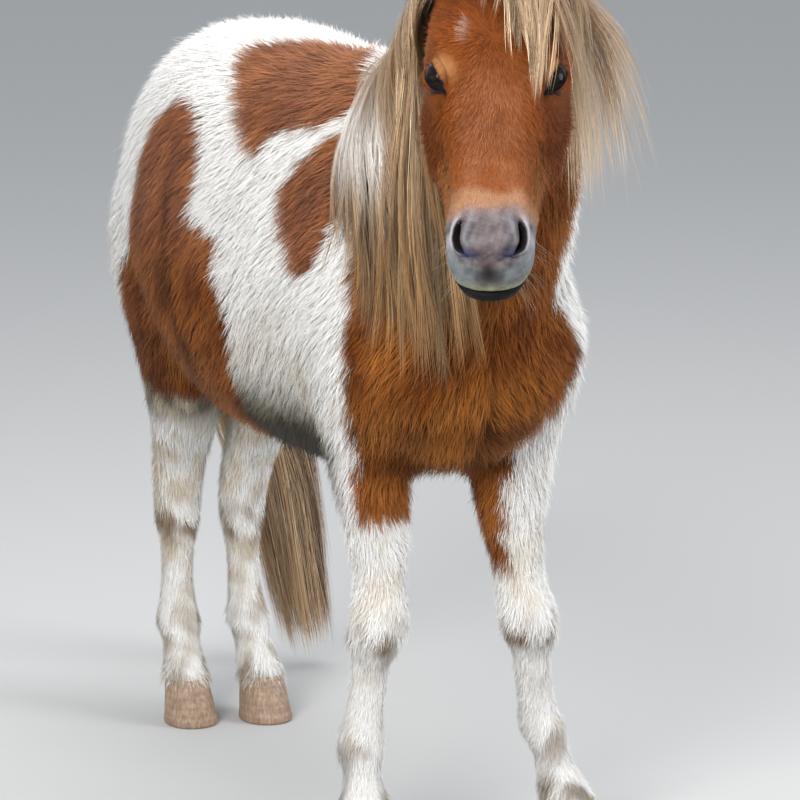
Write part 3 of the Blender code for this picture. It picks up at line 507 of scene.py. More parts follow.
def head_detail(ob):
    me = ob.data
    def head_part(mid, k):
        u, v, w = to_head(mid)
        inside = (u > -0.04) & (np.abs(v) < 0.12) & (w > -0.25) & (w < 0.1)
        if k == 0:
            return inside
        return inside & ((u > 0.30) | near_eye(mid, 0.040))
    finer(ob, head_part, 2)
    relax(ob.data, lambda p: smooth(-0.06, -0.02, to_head(p)[0]) * (np.abs(to_head(p)[1]) < 0.13), 3)
    def very_fine(mid, k):
        u, v, w = to_head(mid)
        nose = np.minimum(np.linalg.norm(mid - nostril_frame(1)[0], axis=1), np.linalg.norm(mid - nostril_frame(-1)[0], axis=1)) < 0.026
        return near_eye(mid, 0.030) | nose | ((u > 0.32) & (np.abs(w + 0.057) < 0.011))
    finer(ob, very_fine, 1)
    def lids(mid, k):
        pick = np.zeros(len(mid), bool)
        for s in (-1, 1):
            q, r, z, rho, y = eye_rho(mid, s)
            pick |= (r < 0.03) & (z > 0) & (np.abs(rho - 1.05) < 0.28)
        return pick
    finer(ob, lids, 1)
    relax(ob.data, lambda p: smooth(-0.06, -0.02, to_head(p)[0]) * (np.abs(to_head(p)[1]) < 0.13), 2)
    me = ob.data
    p, n = coords(me), normals(me)
    u, v, w = to_head(p)
    here = (u > -0.08) & (np.abs(v) < 0.13) & (w > -0.26) & (w < 0.12)
    move = np.zeros(len(p))
    # brow over each eye, hollow above it, the crest of the cheek and the groove along the nose bone
    for s in (-1, 1):
        sv = v * s
        move += 0.0035 * np.exp(-((u - 0.128) / 0.022) ** 2 - ((sv - 0.060) / 0.014) ** 2 - ((w - 0.004) / 0.020) ** 2)
        move -= 0.0040 * np.exp(-((u - 0.072) / 0.020) ** 2 - ((sv - 0.050) / 0.014) ** 2) * smooth(-0.03, 0.0, w)
        move += 0.0030 * np.exp(-((w + 0.056) / 0.010) ** 2) * smooth(0.14, 0.18, u) * smooth(0.265, 0.235, u)
        move -= 0.0022 * np.exp(-((w + 0.030) / 0.011) ** 2) * smooth(0.20, 0.235, u) * smooth(0.33, 0.29, u)
        move -= 0.0020 * np.exp(-((w + 0.078) / 0.012) ** 2) * smooth(0.16, 0.20, u) * smooth(0.30, 0.26, u)
    move *= here
    p = p + n * move[:, None]
    # eyes
    for side in (-1, 1):
        c, a, t, b = eye_frame(side)
        q, r, z, rho, y = eye_rho(p, side)
        d = (rho - 1) * 0.0085
        ok = (r < 0.046) & (z > 0.002)
        lid = EYE_R + 0.0009 + 0.0020 * smooth(0.0, 0.0018, d) + 0.0012 * smooth(0.0015, 0.006, d) * (y > 0)
        lid = lid - 0.0016 * np.exp(-((d - 0.0095) / 0.0016) ** 2) * (y > 0) - 0.0012 * np.exp(-((d - 0.0080) / 0.0016) ** 2) * (y <= 0)
        target = np.where(d > -0.0004, lid, EYE_R - 0.0035)
        wgt = (1 - smooth(0.0045, 0.0170, d)) * smooth(0.002, 0.007, z)
        wgt = np.where(ok, wgt, 0.0)
        new = c + q / np.maximum(r, 1e-6)[:, None] * target[:, None]
        p = p + (new - p) * wgt[:, None]
        # tear duct corner
        x = (p - c) @ t
        corner = np.exp(-((x - EYE_A - 0.0010) / 0.0030) ** 2 - ((q @ b + 0.0022) / 0.0022) ** 2) * ok
        p = p - a * (corner * 0.0022)[:, None]
    # nostrils
    for side in (-1, 1):
        c, a, t, b = nostril_frame(side)
        q, z, rho, x, y = nostril_rho(p, side)
        ok = (np.linalg.norm(q, axis=1) < 0.034) & (z > -0.016)
        hole = np.clip(1 - rho ** 2, 0, 1) ** 0.50 * 0.0150
        rim = np.exp(-((rho - 1.50) / 0.40) ** 2) * (0.0014 + 0.0022 * smooth(-0.002, 0.006, y)) * smooth(0.022, 0.011, np.abs(x))
        p = p + a * (np.where(ok, rim - hole, 0.0))[:, None]
        fold = np.exp(-((x - 0.0205) / 0.0022) ** 2 - ((y + 0.004) / 0.012) ** 2) * 0.0014
        p = p - a * np.where(ok, fold, 0.0)[:, None]
    me_n = normals(me)
    u, v, w = to_head(p)
    # mouth
    line = mouth_line(u, v)
    d = w - line
    mouth = smooth(0.300, 0.318, u) * here
    p = p - me_n * (0.0036 * np.exp(-(d / 0.0019) ** 2) * mouth)[:, None]
    low = mouth * smooth(-0.0005, -0.003, d) * smooth(-0.026, -0.012, d)
    p = p + (HU * 0.8 - HW * 0.25) * (0.0038 * low * smooth(0.345, 0.375, u))[:, None]
    p = p + me_n * (0.0022 * np.exp(-((d + 0.012) / 0.006) ** 2) * smooth(0.325, 0.35, u) * here)[:, None]
    # soft roll of the upper lip, and the dip along its middle
    p = p + me_n * (0.0014 * np.exp(-((d - 0.008) / 0.006) ** 2) * smooth(0.34, 0.37, u) * here)[:, None]
    p = p - me_n * (0.0016 * np.exp(-(v / 0.0045) ** 2) * smooth(0.362, 0.378, u) * smooth(0.002, 0.008, d) * here)[:, None]
    # the fold across the upper lip below the nostrils, and the two pads beside its middle
    fold_w = -0.0196 + 0.0022 * np.cos(np.clip(v / 0.030, -1, 1) * math.pi) + 0.0010 * np.sin(v * 420)
    p = p - me_n * (0.0011 * np.exp(-((w - fold_w) / 0.0016) ** 2) * smooth(0.350, 0.362, u) * smooth(0.032, 0.024, np.abs(v)) * here)[:, None]
    p = p + me_n * (0.0012 * np.exp(-((w - fold_w - 0.0045) / 0.0030) ** 2) * smooth(0.350, 0.362, u) * smooth(0.032, 0.022, np.abs(v)) * here)[:, None]
    # chin hollow behind the lower lip
    p = p - me_n * (0.0030 * np.exp(-((u - 0.318) / 0.016) ** 2) * smooth(-0.070, -0.082, w) * here)[:, None]
    # fine wrinkles of the muzzle's skin
    muzzle = smooth(0.325, 0.345, u) * here
    p = p + me_n * (0.00022 * waves(p, 0.0042, 3) * muzzle)[:, None]
    set_coords(me, p)

# ---------------------------------------------------------------- ears
def ear_shell(side):
    """A cupped ear: an outer leaf with a deep hollow in front, open along its inner side."""
    _r, base, axis, fwd, lat = ear_rings(side, 16)
    fwd = unit(HW * 0.50 + HU * 0.80 + HV * side * 0.35)
    fwd = unit(fwd - axis * (fwd @ axis))
    lat = np.cross(axis, fwd)
    rows = [(-0.024, 0.0175, 0.0155, 0.45), (-0.004, 0.0180, 0.0160, 0.40), (0.012, 0.0195, 0.0165, 0.62), (0.030, 0.0215, 0.0165, 0.80),
            (0.050, 0.0210, 0.0150, 0.86), (0.068, 0.0175, 0.0120, 0.88), (0.084, 0.0118, 0.0080, 0.88), (0.096, 0.0055, 0.0040, 0.85), (0.1005, 0.0016, 0.0014, 0.5)]
    T = np.array(rows)
    ss = np.linspace(T[0, 0], T[-1, 0], 44)
    S = through(T[:, 0], T[:, 1:], ss)
    rings = []
    k = 40
    for s, (a, b, cup) in zip(ss, S):
        th = np.arange(k) * 2 * math.pi / k
        x = a * np.cos(th)
        y = b * np.sin(th)
        front = np.sin(th) > 0
        floor = -0.72 * b * (1 - (x / a) ** 2) ** 0.5 * cup
        y = np.where(front, y * (1 - cup) + floor * cup + 0.0012, y)
        curl = 0.10 * (s / 0.10) ** 2 * 0.02
        c = base + axis * s - fwd * (0.004 * math.sin(math.pi * min(1, max(0, s) / 0.10))) - HV * side * curl
        rings.append(c + x[:, None] * lat + y[:, None] * fwd)
    return skin_rings("ear_form", rings)
# ---------------------------------------------------------------- markings
def loop_curve(points, count=84):
    P = np.array(points, float)
    return closed_smooth(P, count)

def inside_loop(a, b, loop):
    """Signed distance to a closed outline, positive inside."""
    out = np.full(len(a), -0.06)
    lo, hi = loop.min(0) - 0.06, loop.max(0) + 0.06
    near = (a > lo[0]) & (a < hi[0]) & (b > lo[1]) & (b < hi[1])
    out[near] = _inside_loop(a[near], b[near], loop)
    return out

def _inside_loop(a, b, loop):
    out = np.empty(len(a))
    x0, y0 = loop[:, 0], loop[:, 1]
    x1, y1 = np.roll(x0, -1), np.roll(y0, -1)
    dx, dy = x1 - x0, y1 - y0
    ll = np.maximum(dx * dx + dy * dy, 1e-12)
    for s in range(0, len(a), 20000):
        px, py = a[s:s + 20000, None], b[s:s + 20000, None]
        t = np.clip(((px - x0) * dx + (py - y0) * dy) / ll, 0, 1)
        d = np.sqrt(((px - x0 - t * dx) ** 2 + (py - y0 - t * dy) ** 2).min(1))
        cross = ((y0 > py) != (y1 > py)) & (px < (x1 - x0) * (py - y0) / np.where(y1 == y0, 1e-12, y1 - y0) + x0)
        out[s:s + 20000] = np.where(cross.sum(1) % 2 == 1, d, -d)
    return out

# outlines on the trunk in y and height, or in y and the arc from the spine (0.3 m to a radian)
LOIN = [(0.388, -0.285), (0.351, -0.085), (0.262, 0.03), (0.16, 0.0), (0.106, -0.099), (0.061, -0.214), (0.086, -0.347), (0.191, -0.53), (0.224, -0.652), (0.268, -0.60), (0.339, -0.43)]
SHOULDER = [(0.064, -0.379), (0.098, -0.494), (0.125, -0.611), (0.142, -0.767), (0.134, -0.905), (0.112, -1.035), (0.079, -1.234), (0.043, -1.222), (0.020, -1.104), (0.005, -0.941), (0.0, -0.782), (-0.035, -0.62), (-0.052, -0.48), (0.0, -0.37)]
FLANK_R = [(0.401, 0.839), (0.450, 0.845), (0.50, 0.825), (0.547, 0.781), (0.560, 0.724), (0.590, 0.671), (0.655, 0.612), (0.700, 0.539), (0.700, 0.480), (0.640, 0.458), (0.500, 0.452), (0.400, 0.436), (0.300, 0.440), (0.261, 0.517), (0.248, 0.560), (0.243, 0.610), (0.252, 0.645), (0.264, 0.672), (0.262, 0.703), (0.300, 0.712), (0.334, 0.722), (0.338, 0.754), (0.333, 0.787), (0.362, 0.812)]
RIB_L = [(0.08, 0.83), (0.16, 0.885), (0.29, 0.865), (0.40, 0.88), (0.455, 0.80), (0.40, 0.745), (0.415, 0.66), (0.34, 0.60), (0.29, 0.635), (0.235, 0.575), (0.165, 0.60), (0.145, 0.68), (0.085, 0.73)]
RUMP_L = [(0.585, 0.875), (0.68, 0.855), (0.775, 0.78), (0.81, 0.69), (0.785, 0.60), (0.735, 0.545), (0.715, 0.465), (0.655, 0.425), (0.600, 0.455), (0.615, 0.545), (0.555, 0.62), (0.590, 0.70), (0.530, 0.77)]
EDGE_R = [(0.40, -0.020), (0.474, -0.026), (0.557, -0.048), (0.639, -0.060), (0.705, -0.050), (0.738, -0.042), (0.80, -0.015), (0.87, 0.020), (0.95, 0.060), (1.2, 0.12)]
EDGE_L = [(0.40, -0.060), (0.49, -0.085), (0.54, -0.088), (0.60, -0.092), (0.66, -0.118), (0.74, -0.158), (0.80, -0.160), (0.86, -0.120), (0.95, -0.040), (1.2, 0.10)]

def brown_field(p):
    """Signed distance in metres to the chestnut markings, positive inside them."""
    x, y, z = p[:, 0], p[:, 1], p[:, 2]
    arc = np.arctan2(x, z - 0.64)
    r = 0.26
    best = inside_loop(y, arc * r, loop_curve([(a, b * r) for a, b in LOIN]))
    best = np.maximum(best, inside_loop(y, arc * r, loop_curve([(a, b * r) for a, b in SHOULDER])))
    right, left = x < 0, x >= 0
    fl = inside_loop(y, z, loop_curve(FLANK_R, 110))
    best = np.where(right, np.maximum(best, np.minimum(fl, -x * 1.0 - 0.012)), best)
    yy, zz = y + 0.022 * waves(p, 0.16, 6), z + 0.020 * waves(p, 0.14, 7)
    ll = np.maximum(inside_loop(yy, zz, loop_curve(RIB_L)), inside_loop(yy, zz, loop_curve(RUMP_L)))
    best = np.where(left, np.maximum(best, np.minimum(ll, x - 0.03)), best)
    er = np.interp(z, [a for a, _ in EDGE_R], [b for _, b in EDGE_R])
    el = np.interp(z, [a for a, _ in EDGE_L], [b for _, b in EDGE_L])
    side = smooth(-0.06, 0.06, x)
    edge = er * (1 - side) + el * side
    front = edge - y
    zlow = 0.412 * smooth(0.01, -0.03, x) + 0.470 * (1 - smooth(0.01, -0.03, x))
    zlow = zlow + 0.022 * smooth(0.04, 0.10, x)
    front = np.minimum(front, z - zlow)
    front = np.where(z < 0.50, np.minimum(front, x + 0.122), front)
    streak = np.minimum(np.interp(z, [0.335, 0.371, 0.415, 0.449, 0.49], [0.062, 0.064, 0.062, 0.062, 0.062]) - x, np.minimum(z - 0.338, x - 0.0))
    streak = np.minimum(streak, 0.5 * (z - 0.338) + 0.02 - 0.9 * np.abs(y + 0.035) + 0.012)
    best = np.maximum(best, np.maximum(front, np.where(z < 0.50, streak, -1.0)))
    return best

WHITE = np.array((0.88, 0.865, 0.835))
CREAM = np.array((0.66, 0.565, 0.435))
CHEST = np.array((0.218, 0.056, 0.0065))
CHEST_DARK = np.array((0.060, 0.0145, 0.0022))
CHEST_PALE = np.array((0.400, 0.150, 0.030))
MUD = np.array((0.27, 0.205, 0.145))
SKIN_GREY = np.array((0.056, 0.046, 0.053))
SKIN_PALE = np.array((0.186, 0.174, 0.183))
SKIN_DARK = np.array((0.014, 0.011, 0.012))

def mix(a, b, t):
    return a + (b - a) * t[:, None]

def coat_colour(p, ragged=0.0, rnd=None):
    """Colour of the coat that grows at p: markings, shading of the breed's colour, mud, and painted shade and sheen."""
    f = brown_field(p) + 0.0045 * waves(p, 0.022, 0) + 0.0030 * waves(p, 0.009, 1)
    if rnd is not None:
        f = f + (rnd - 0.5) * ragged
    m = smooth(-0.003, 0.003, f)
    head, neck, leg = weights(p)
    u, v, w = to_head(p)
    z = p[:, 2]
    n1, n2 = waves(p, 0.055, 2), waves(p, 0.018, 4)
    brown = CHEST * np.ones((len(p), 1))
    brown = mix(brown, CHEST_DARK, np.clip(0.24 + 0.30 * n1 + 0.22 * n2, 0, 0.85))
    brown = mix(brown, CHEST_PALE, np.clip(0.14 - 0.34 * n1 - 0.1 * n2, 0, 0.6))
    # the chest's lower part is paler and worn by weather, then darker under it with painted shade between the forelegs
    lower = smooth(0.60, 0.53, z) * smooth(-0.02, -0.06, p[:, 1])
    brown = mix(brown, CHEST_PALE, 0.75 * lower * smooth(0.49, 0.52, z) * np.clip(0.7 + 0.6 * n2, 0, 1))
    brown = mix(brown, np.array((0.36, 0.115, 0.024)), 0.50 * smooth(0.500, 0.475, z) * smooth(0.0, -0.05, p[:, 1]))
    # painted sheen: the back and the upper trunk lighter and pinker where light falls from above
    back = (1 - head) * (1 - neck) * smooth(0.83, 0.90, z)
    brown = mix(brown, np.array((0.36, 0.165, 0.105)), 0.42 * back + 0.34 * (1 - head) * (1 - neck) * smooth(0.62, 0.74, z) * smooth(-0.02, 0.03, p[:, 1]) * (1 - back))
    # painted shade under the chest, between the forelegs
    brown = mix(brown, CHEST_DARK, 0.62 * smooth(0.560, 0.524, z) * smooth(0.462, 0.486, z) * 1.25 * smooth(0.02, -0.03, p[:, 1]) * np.clip(0.7 + 0.7 * n1, 0, 1))
    # painted shade in the fold of skin where the thigh meets the belly, and darker towards the bottom of the
    # hindquarters
    fold_y = np.interp(z, [0.50, 0.56, 0.62, 0.68, 0.76], [0.365, 0.375, 0.385, 0.395, 0.412])
    fold = np.exp(-((p[:, 1] - fold_y) / 0.011) ** 2) * smooth(0.50, 0.53, z) * smooth(0.80, 0.70, z) * smooth(0.10, 0.14, np.abs(p[:, 0]))
    brown = mix(brown, CHEST_DARK * 0.9, 0.75 * fold)
    brown = mix(brown, CHEST_DARK, 0.35 * smooth(0.66, 0.50, z) * smooth(0.30, 0.42, p[:, 1]))
    # face: richer on the forehead, with painted shadow of the forelock and painted shade down its sides, paler along
    # the nose and towards the muzzle
    on = head * smooth(-0.12, -0.03, w)
    brown = mix(brown, np.array((0.212, 0.048, 0.0055)), 0.72 * on)
    # painted shadow of the forelock across the top of the forehead
    brown = mix(brown, np.array((0.120, 0.028, 0.004)), 0.50 * on * smooth(0.115, 0.050, u))
    brown = mix(brown, CHEST_DARK, 0.30 * on * np.clip(0.2 + 0.8 * waves(p, 0.030, 7), 0, 1))
    brown = mix(brown, np.array((0.320, 0.118, 0.050)), on * 0.75 * smooth(0.125, 0.19, u) * smooth(0.046, 0.016, np.abs(v)) * np.clip(0.85 + 0.4 * n2, 0, 1))
    # painted shade down the sides of the face, below the eyes
    brown = mix(brown, np.array((0.098, 0.022, 0.003)), head * 0.75 * smooth(-0.006, -0.045, w) * smooth(0.10, 0.17, u))
    brown = mix(brown, np.array((0.42, 0.175, 0.055)), head * 0.55 * np.exp(-((w + 0.030) / 0.016) ** 2) * smooth(0.225, 0.26, u) * smooth(0.325, 0.30, u))
    brown = mix(brown, np.array((0.405, 0.215, 0.118)), head * smooth(0.290, 0.312, u + 0.006 * n2 - 0.9 * v * v) * 0.80)
    brown = mix(brown, np.array((0.250, 0.200, 0.200)), head * smooth(0.314, 0.333, u + 0.004 * n2) * 0.85)
    for s in (-1, 1):
        c, a, t, b = eye_frame(s)
        q = p - c
        e = np.exp(-((q @ t - 0.0) / 0.018) ** 2 - ((q @ b - 0.019) / 0.0085) ** 2)
        brown = mix(brown, np.array((0.43, 0.20, 0.075)), head * 0.75 * e)
        e = np.exp(-((q @ t - 0.024) / 0.012) ** 2 - ((q @ b + 0.004) / 0.008) ** 2)
        brown = mix(brown, CHEST_DARK, head * 0.55 * e)
    star = np.exp(-((u - 0.108 - 0.004 * waves(p, 0.02, 1)) / 0.0085) ** 2 - ((v + 0.030 + 0.05 * (u - 0.108)) / 0.0026) ** 2)
    brown = mix(brown, np.array((0.72, 0.66, 0.60)), head * np.clip(star * 0.6, 0, 0.20))
    white = WHITE * (1 + 0.02 * n1[:, None])
    dirt = np.clip(0.04 + 0.20 * n1 + 0.16 * n2, 0, 1) * smooth(0.66, 0.52, z) * (1 - 0.55 * leg)
    white = mix(white, np.array((0.70, 0.62, 0.53)), np.clip(dirt * 1.3, 0, 0.7))
    # the underside: grey-brown and darker towards the belly, partly mud and partly painted shade
    under = smooth(-0.02, 0.06, p[:, 1]) * (1 - leg * smooth(0.45, 0.40, z))
    white = mix(white, np.array((0.60, 0.545, 0.455)), under * (1 - leg) * smooth(0.70, 0.57, z) * np.clip(0.46 + 0.34 * n2 + 0.25 * n1, 0, 0.8))
    belly = under * smooth(0.575, 0.505, z + 0.014 * n2 + 0.010 * n1)
    white = mix(white, np.array((0.205, 0.182, 0.130)), np.clip(belly * (0.86 + 0.35 * n2), 0, 0.92))
    # painted shade, near black, along the lowest edge of the belly
    white = mix(white, np.array((0.032, 0.026, 0.013)), under * smooth(0.532, 0.494, z + 0.012 * n2) * 0.93)
    # legs: white and cream, with tan mud round the knees, hocks and fetlocks
    hindleg = leg * smooth(0.4, 0.5, p[:, 1])
    white = mix(white, CREAM, hindleg * np.clip(0.34 + 0.45 * n2 + 0.3 * n1, 0, 0.85))
    white = mix(white, CREAM * 1.1, leg * (1 - smooth(0.4, 0.5, p[:, 1])) * np.clip(-0.02 + 0.26 * n1 + 0.2 * n2, 0, 0.7))
    for zc, wd, amt in ((0.258, 0.026, 1.15), (0.128, 0.020, 0.50), (0.072, 0.014, 0.85)):
        white = mix(white, MUD * 1.1, leg * amt * np.exp(-((z - zc) / wd) ** 2) * np.clip(0.40 + 0.8 * n2 + 0.4 * n1, 0, 1))
    low = leg * smooth(0.26, 0.10, z)
    white = white * (1 - 0.16 * low * np.clip(0.7 + 0.6 * n2, 0, 1.4))[:, None]
    col = mix(white, brown, m)
    return col, m

def skin_colour(p):
    """Colour of the bare skin and of the short down over it, with painted highlights and shade on the muzzle."""
    col, m = coat_colour(p)
    col = col * 0.80
    head, neck, leg = weights(p)
    u, v, w = to_head(p)
    n = waves(p, 0.010, 5)
    edge = u + 0.003 * waves(p, 0.02, 6) + 0.10 * np.clip(-w - 0.045, 0, 0.05)
    bare = head * smooth(0.319, 0.336, edge)
    grey = mix(SKIN_GREY * np.ones((len(p), 1)), SKIN_PALE, np.clip(0.42 + 0.35 * n + 0.25 * waves(p, 0.0045, 4), 0, 1))
    grey = mix(grey, np.array((0.155, 0.110, 0.105)), 0.45 * smooth(0.020, 0.010, np.abs(v)) * smooth(0.012, -0.012, w) * smooth(-0.030, -0.020, w))
    # painted highlight along the outer wings of the muzzle
    grey = mix(grey, np.array((0.37, 0.36, 0.385)), smooth(0.034, 0.041, np.abs(v)) * smooth(-0.046, -0.032, w) * smooth(0.332, 0.346, u) * 0.70)
    lip = smooth(-0.022, -0.030, w) * smooth(0.345, 0.358, u)
    # painted highlight, pale blue, on the upper lip either side of its darker middle
    grey = mix(grey, np.array((0.150, 0.172, 0.178)), lip * np.clip(0.70 + 0.25 * n, 0, 1) * smooth(0.006, 0.020, np.abs(v)))
    grey = mix(grey, np.array((0.055, 0.055, 0.056)), lip * 0.75 * smooth(0.020, 0.008, np.abs(v)))
    grey = mix(grey, np.array((0.265, 0.265, 0.170)), np.exp(-((w - mouth_line(u, v) - 0.0060) / 0.0050) ** 2) * smooth(0.345, 0.365, u) * 0.85)
    grey = mix(grey, SKIN_DARK * 1.2, np.exp(-((v / 0.0090) ** 2 + ((w + 0.0308) / 0.0086) ** 2) ** 1.2) * smooth(0.35, 0.37, u) * 0.92)
    fold_w = -0.0196 + 0.0022 * np.cos(np.clip(v / 0.030, -1, 1) * math.pi) + 0.0010 * np.sin(v * 420)
    # painted shade in the fold across the upper lip
    grey = mix(grey, SKIN_DARK * 2.4, np.exp(-((w - fold_w) / 0.0014) ** 2) * smooth(0.350, 0.362, u) * smooth(0.034, 0.026, np.abs(v)) * 0.45)
    mouth = mouth_line(u, v)
    # painted shade: the slit of the mouth and the lower lip under it near black
    grey = mix(grey, SKIN_DARK * 0.45, smooth(0.0008, -0.0008, w - mouth) * smooth(0.30, 0.33, u) * 0.97)
    for s in (-1, 1):
        q, z, rho, x, y = nostril_rho(p, s)
        ok = np.linalg.norm(q, axis=1) < 0.036
        # painted shade along the inner edge of the nostril's opening
        grey = mix(grey, SKIN_DARK * 3.2, ok * np.exp(-((rho - 1.45) / 0.55) ** 2) * smooth(0.002, -0.004, y) * 0.80)
        # painted highlight on the raised outer rim of the nostril
        grey = mix(grey, np.array((0.46, 0.44, 0.465)), ok * smooth(1.25, 1.55, rho) * smooth(3.2, 2.0, rho) * smooth(-0.001, 0.004, y) * smooth(0.011, 0.000, x) * 0.80)
        # painted light on the inner wing beside the nostril
        grey = mix(grey, np.array((0.30, 0.29, 0.30)), ok * np.exp(-((rho - 2.2) / 0.5) ** 2) * smooth(-0.001, -0.005, y) * smooth(0.014, 0.004, x) * 0.35)
        # painted shade, near black, inside the nostril's opening
        grey = mix(grey, SKIN_DARK * 0.5, ok * smooth(1.30, 1.08, rho))
        patch = np.array((0.026, 0.020, 0.030))
        grey = mix(grey, patch, ok * np.exp(-((x - 0.0115) / 0.0070) ** 2 - ((y + 0.0105) / 0.0060) ** 2) * (0.90 if s > 0 else 0.55))
        grey = mix(grey, np.array((0.036, 0.046, 0.095)), ok * np.exp(-((x - 0.0175) / 0.0048) ** 2 - ((y + 0.0030) / 0.0060) ** 2) * 0.80)
    col = mix(col, grey, bare)
    for s in (-1, 1):
        q, r, z, rho, y = eye_rho(p, s)
        ok = (r < 0.045) & (z > 0)
        across = np.abs(q @ eye_frame(s)[2]) / EYE_A
        lids = np.where(y < 0, smooth(2.10, 1.65, rho), smooth(1.82, 1.58, rho)) * smooth(1.10, 0.80, across)
        col = mix(col, SKIN_DARK * 0.7, ok * np.maximum(lids, smooth(1.36, 1.20, rho)))
    return col, bare

# ---------------------------------------------------------------- lie of the coat
def lie(p, n):
    """Direction in which the hair points, along the skin."""
    head, neck, leg = weights(p)
    u, v, w = to_head(p)
    x, y, z = p.T
    d = np.zeros_like(p)
    # trunk: backwards over the back, then down the side, straight down behind
    top = smooth(0.30, 0.95, n[:, 2])
    d[:, 1] = 0.45 + 0.75 * top - 0.30 * smooth(0.55, 0.80, y) * (1 - top)
    d[:, 2] = -1.0 + 0.55 * top
    d[:, 0] = 0.45 * np.sign(x) * top
    belly = smooth(-0.2, -0.8, n[:, 2])
    d[:, 1] += 0.5 * belly
    front = smooth(0.3, 0.8, -n[:, 1]) * (1 - neck) * (1 - head)
    d[:, 1] *= (1 - front)
    d[:, 0] += 0.35 * np.sign(x) * front
    # neck: back and down from the crest
    nd = np.zeros_like(p)
    nd[:, 1], nd[:, 2] = 0.42, -1.0
    d = d * (1 - neck)[:, None] + nd * neck[:, None]
    # legs: down
    ld = np.zeros_like(p)
    ld[:, 2] = -1.0
    ld[:, 1] = 0.12
    d = d * (1 - leg)[:, None] + ld * leg[:, None]
    # head: fans out from a whorl between the eyes, back over the cheeks
    whorl_u = 0.125
    fan = np.zeros_like(p)
    s = np.sign(v)
    face = smooth(-0.045, -0.005, w)
    along = np.where(u > whorl_u, 1.0, -1.0) * smooth(0.0, 0.03, np.abs(u - whorl_u)) + 0.15
    fan += HU * (along * face)[:, None]
    fan += HV * (np.clip(v / 0.035, -1, 1) * (0.9 * smooth(0.26, 0.12, np.abs(u - whorl_u)) + 0.2) * face)[:, None]
    cheek = (1 - face)
    fan += (-HU * 0.55 - HW * 0.75)[None, :] * (cheek * smooth(0.24, 0.16, u))[:, None]
    fan += (HU * 0.5 - HW * 0.9)[None, :] * (cheek * smooth(0.16, 0.24, u))[:, None]
    nose = smooth(0.20, 0.28, u)
    fan = fan * (1 - nose)[:, None] + (HU * 0.9 + HV * np.clip(v / 0.03, -1, 1)[:, None] * 0.45 - HW * (0.3 * cheek)[:, None]) * nose[:, None]
    d = d * (1 - head)[:, None] + fan * head[:, None]
    # slow swirls
    sw = np.stack([waves(p, 0.09, 5), waves(p, 0.09, 6), waves(p, 0.09, 7)], 1)
    d = unit(d) + 0.22 * sw * (1 - 0.6 * head)[:, None]
    d = d - n * dot(d, n)[:, None]
    return unit(d)

def hair_length(p, n):
    head, neck, leg = weights(p)
    u, v, w = to_head(p)
    z, y = p[:, 2], p[:, 1]
    L = 0.027 + 0.004 * smooth(0.3, 1.0, n[:, 2])
    L = L + 0.013 * smooth(-0.3, -0.9, n[:, 2]) * smooth(0.55, 0.46, z)
    L = L + 0.006 * smooth(0.56, 0.50, z) * smooth(0.0, -0.05, y)
    L = L * (1 - neck) + 0.026 * neck
    low = 0.0120 + 0.010 * smooth(0.26, 0.42, z)
    low = low + 0.014 * smooth(0.3, 0.9, n[:, 1]) * np.exp(-((z - 0.128) / 0.035) ** 2)
    low = low + 0.008 * smooth(0.086, 0.066, z) + 0.007 * np.exp(-((z - 0.266) / 0.022) ** 2)
    L = L * (1 - leg) + low * leg
    face = 0.0125 + 0.0045 * smooth(0.10, 0.02, u) - 0.0078 * smooth(0.22, 0.31, u) - 0.0017 * smooth(0.315, 0.335, u)
    face = face + 0.012 * smooth(-0.085, -0.14, w) * smooth(0.24, 0.14, u) + 0.004 * smooth(-0.03, -0.07, w)
    L = L * (1 - head) + face * head
    for s in (-1, 1):
        d = np.linalg.norm(p - eye_frame(s)[0], axis=1)
        L = L * (1 - 0.66 * smooth(0.040, 0.026, d))
    return L

# ---------------------------------------------------------------- fur
def scatter(ob, density, seed):
    """Points spread over the skin as density asks, with the smooth normal at each."""
    me = ob.data
    me.calc_loop_triangles()
    t = np.empty(len(me.loop_triangles) * 3, np.int32)
    me.loop_triangles.foreach_get("vertices", t)
    t = t.reshape(-1, 3)
    p, n = coords(me), normals(me)
    a, b, c = p[t[:, 0]], p[t[:, 1]], p[t[:, 2]]
    area = np.linalg.norm(np.cross(b - a, c - a), axis=1) / 2
    mid = (a + b + c) / 3
    nm = unit(n[t[:, 0]] + n[t[:, 1]] + n[t[:, 2]])
    want = area * density(mid, nm)
    rng = np.random.default_rng(seed)
    total = int(want.sum())
    cum = np.cumsum(want) / want.sum()
    at = (np.arange(total) + rng.random(total)) / total
    k = np.minimum(np.searchsorted(cum, at), len(cum) - 1)
    r1, r2 = np.sqrt(rng.random(total)), rng.random(total)
    w0, w1, w2 = 1 - r1, r1 * (1 - r2), r1 * r2
    P = a[k] * w0[:, None] + b[k] * w1[:, None] + c[k] * w2[:, None]
    N = unit(n[t[k, 0]] * w0[:, None] + n[t[k, 1]] * w1[:, None] + n[t[k, 2]] * w2[:, None])
    return P, N, rng

def clump_pull(P, D, N, cell):
    """Offset along the skin from each root to the middle of its clump, and the clump's random numbers."""
    base = np.floor(P / cell).astype(np.int64)
    best = np.full(len(P), 1e9)
    off = np.zeros_like(P)
    cid = np.zeros((len(P), 3), np.int64)
    for i in (-1, 0, 1):
        for j in (-1, 0, 1):
            for k in (-1, 0, 1):
                c = base + (i, j, k)
                q = (c + np.stack([hash3(c), hash3(c + 101), hash3(c + 211)], 1)) * cell
                d = q - P
                d = d - N * dot(d, N)[:, None] * 0.9
                r = dot(d, d)
                m = r < best
                best[m], off[m], cid[m] = r[m], d[m], c[m]
    off = off - N * dot(off, N)[:, None] - D * dot(off, D)[:, None]
    return off, hash3(cid + 17), hash3(cid + 31), hash3(cid + 53)

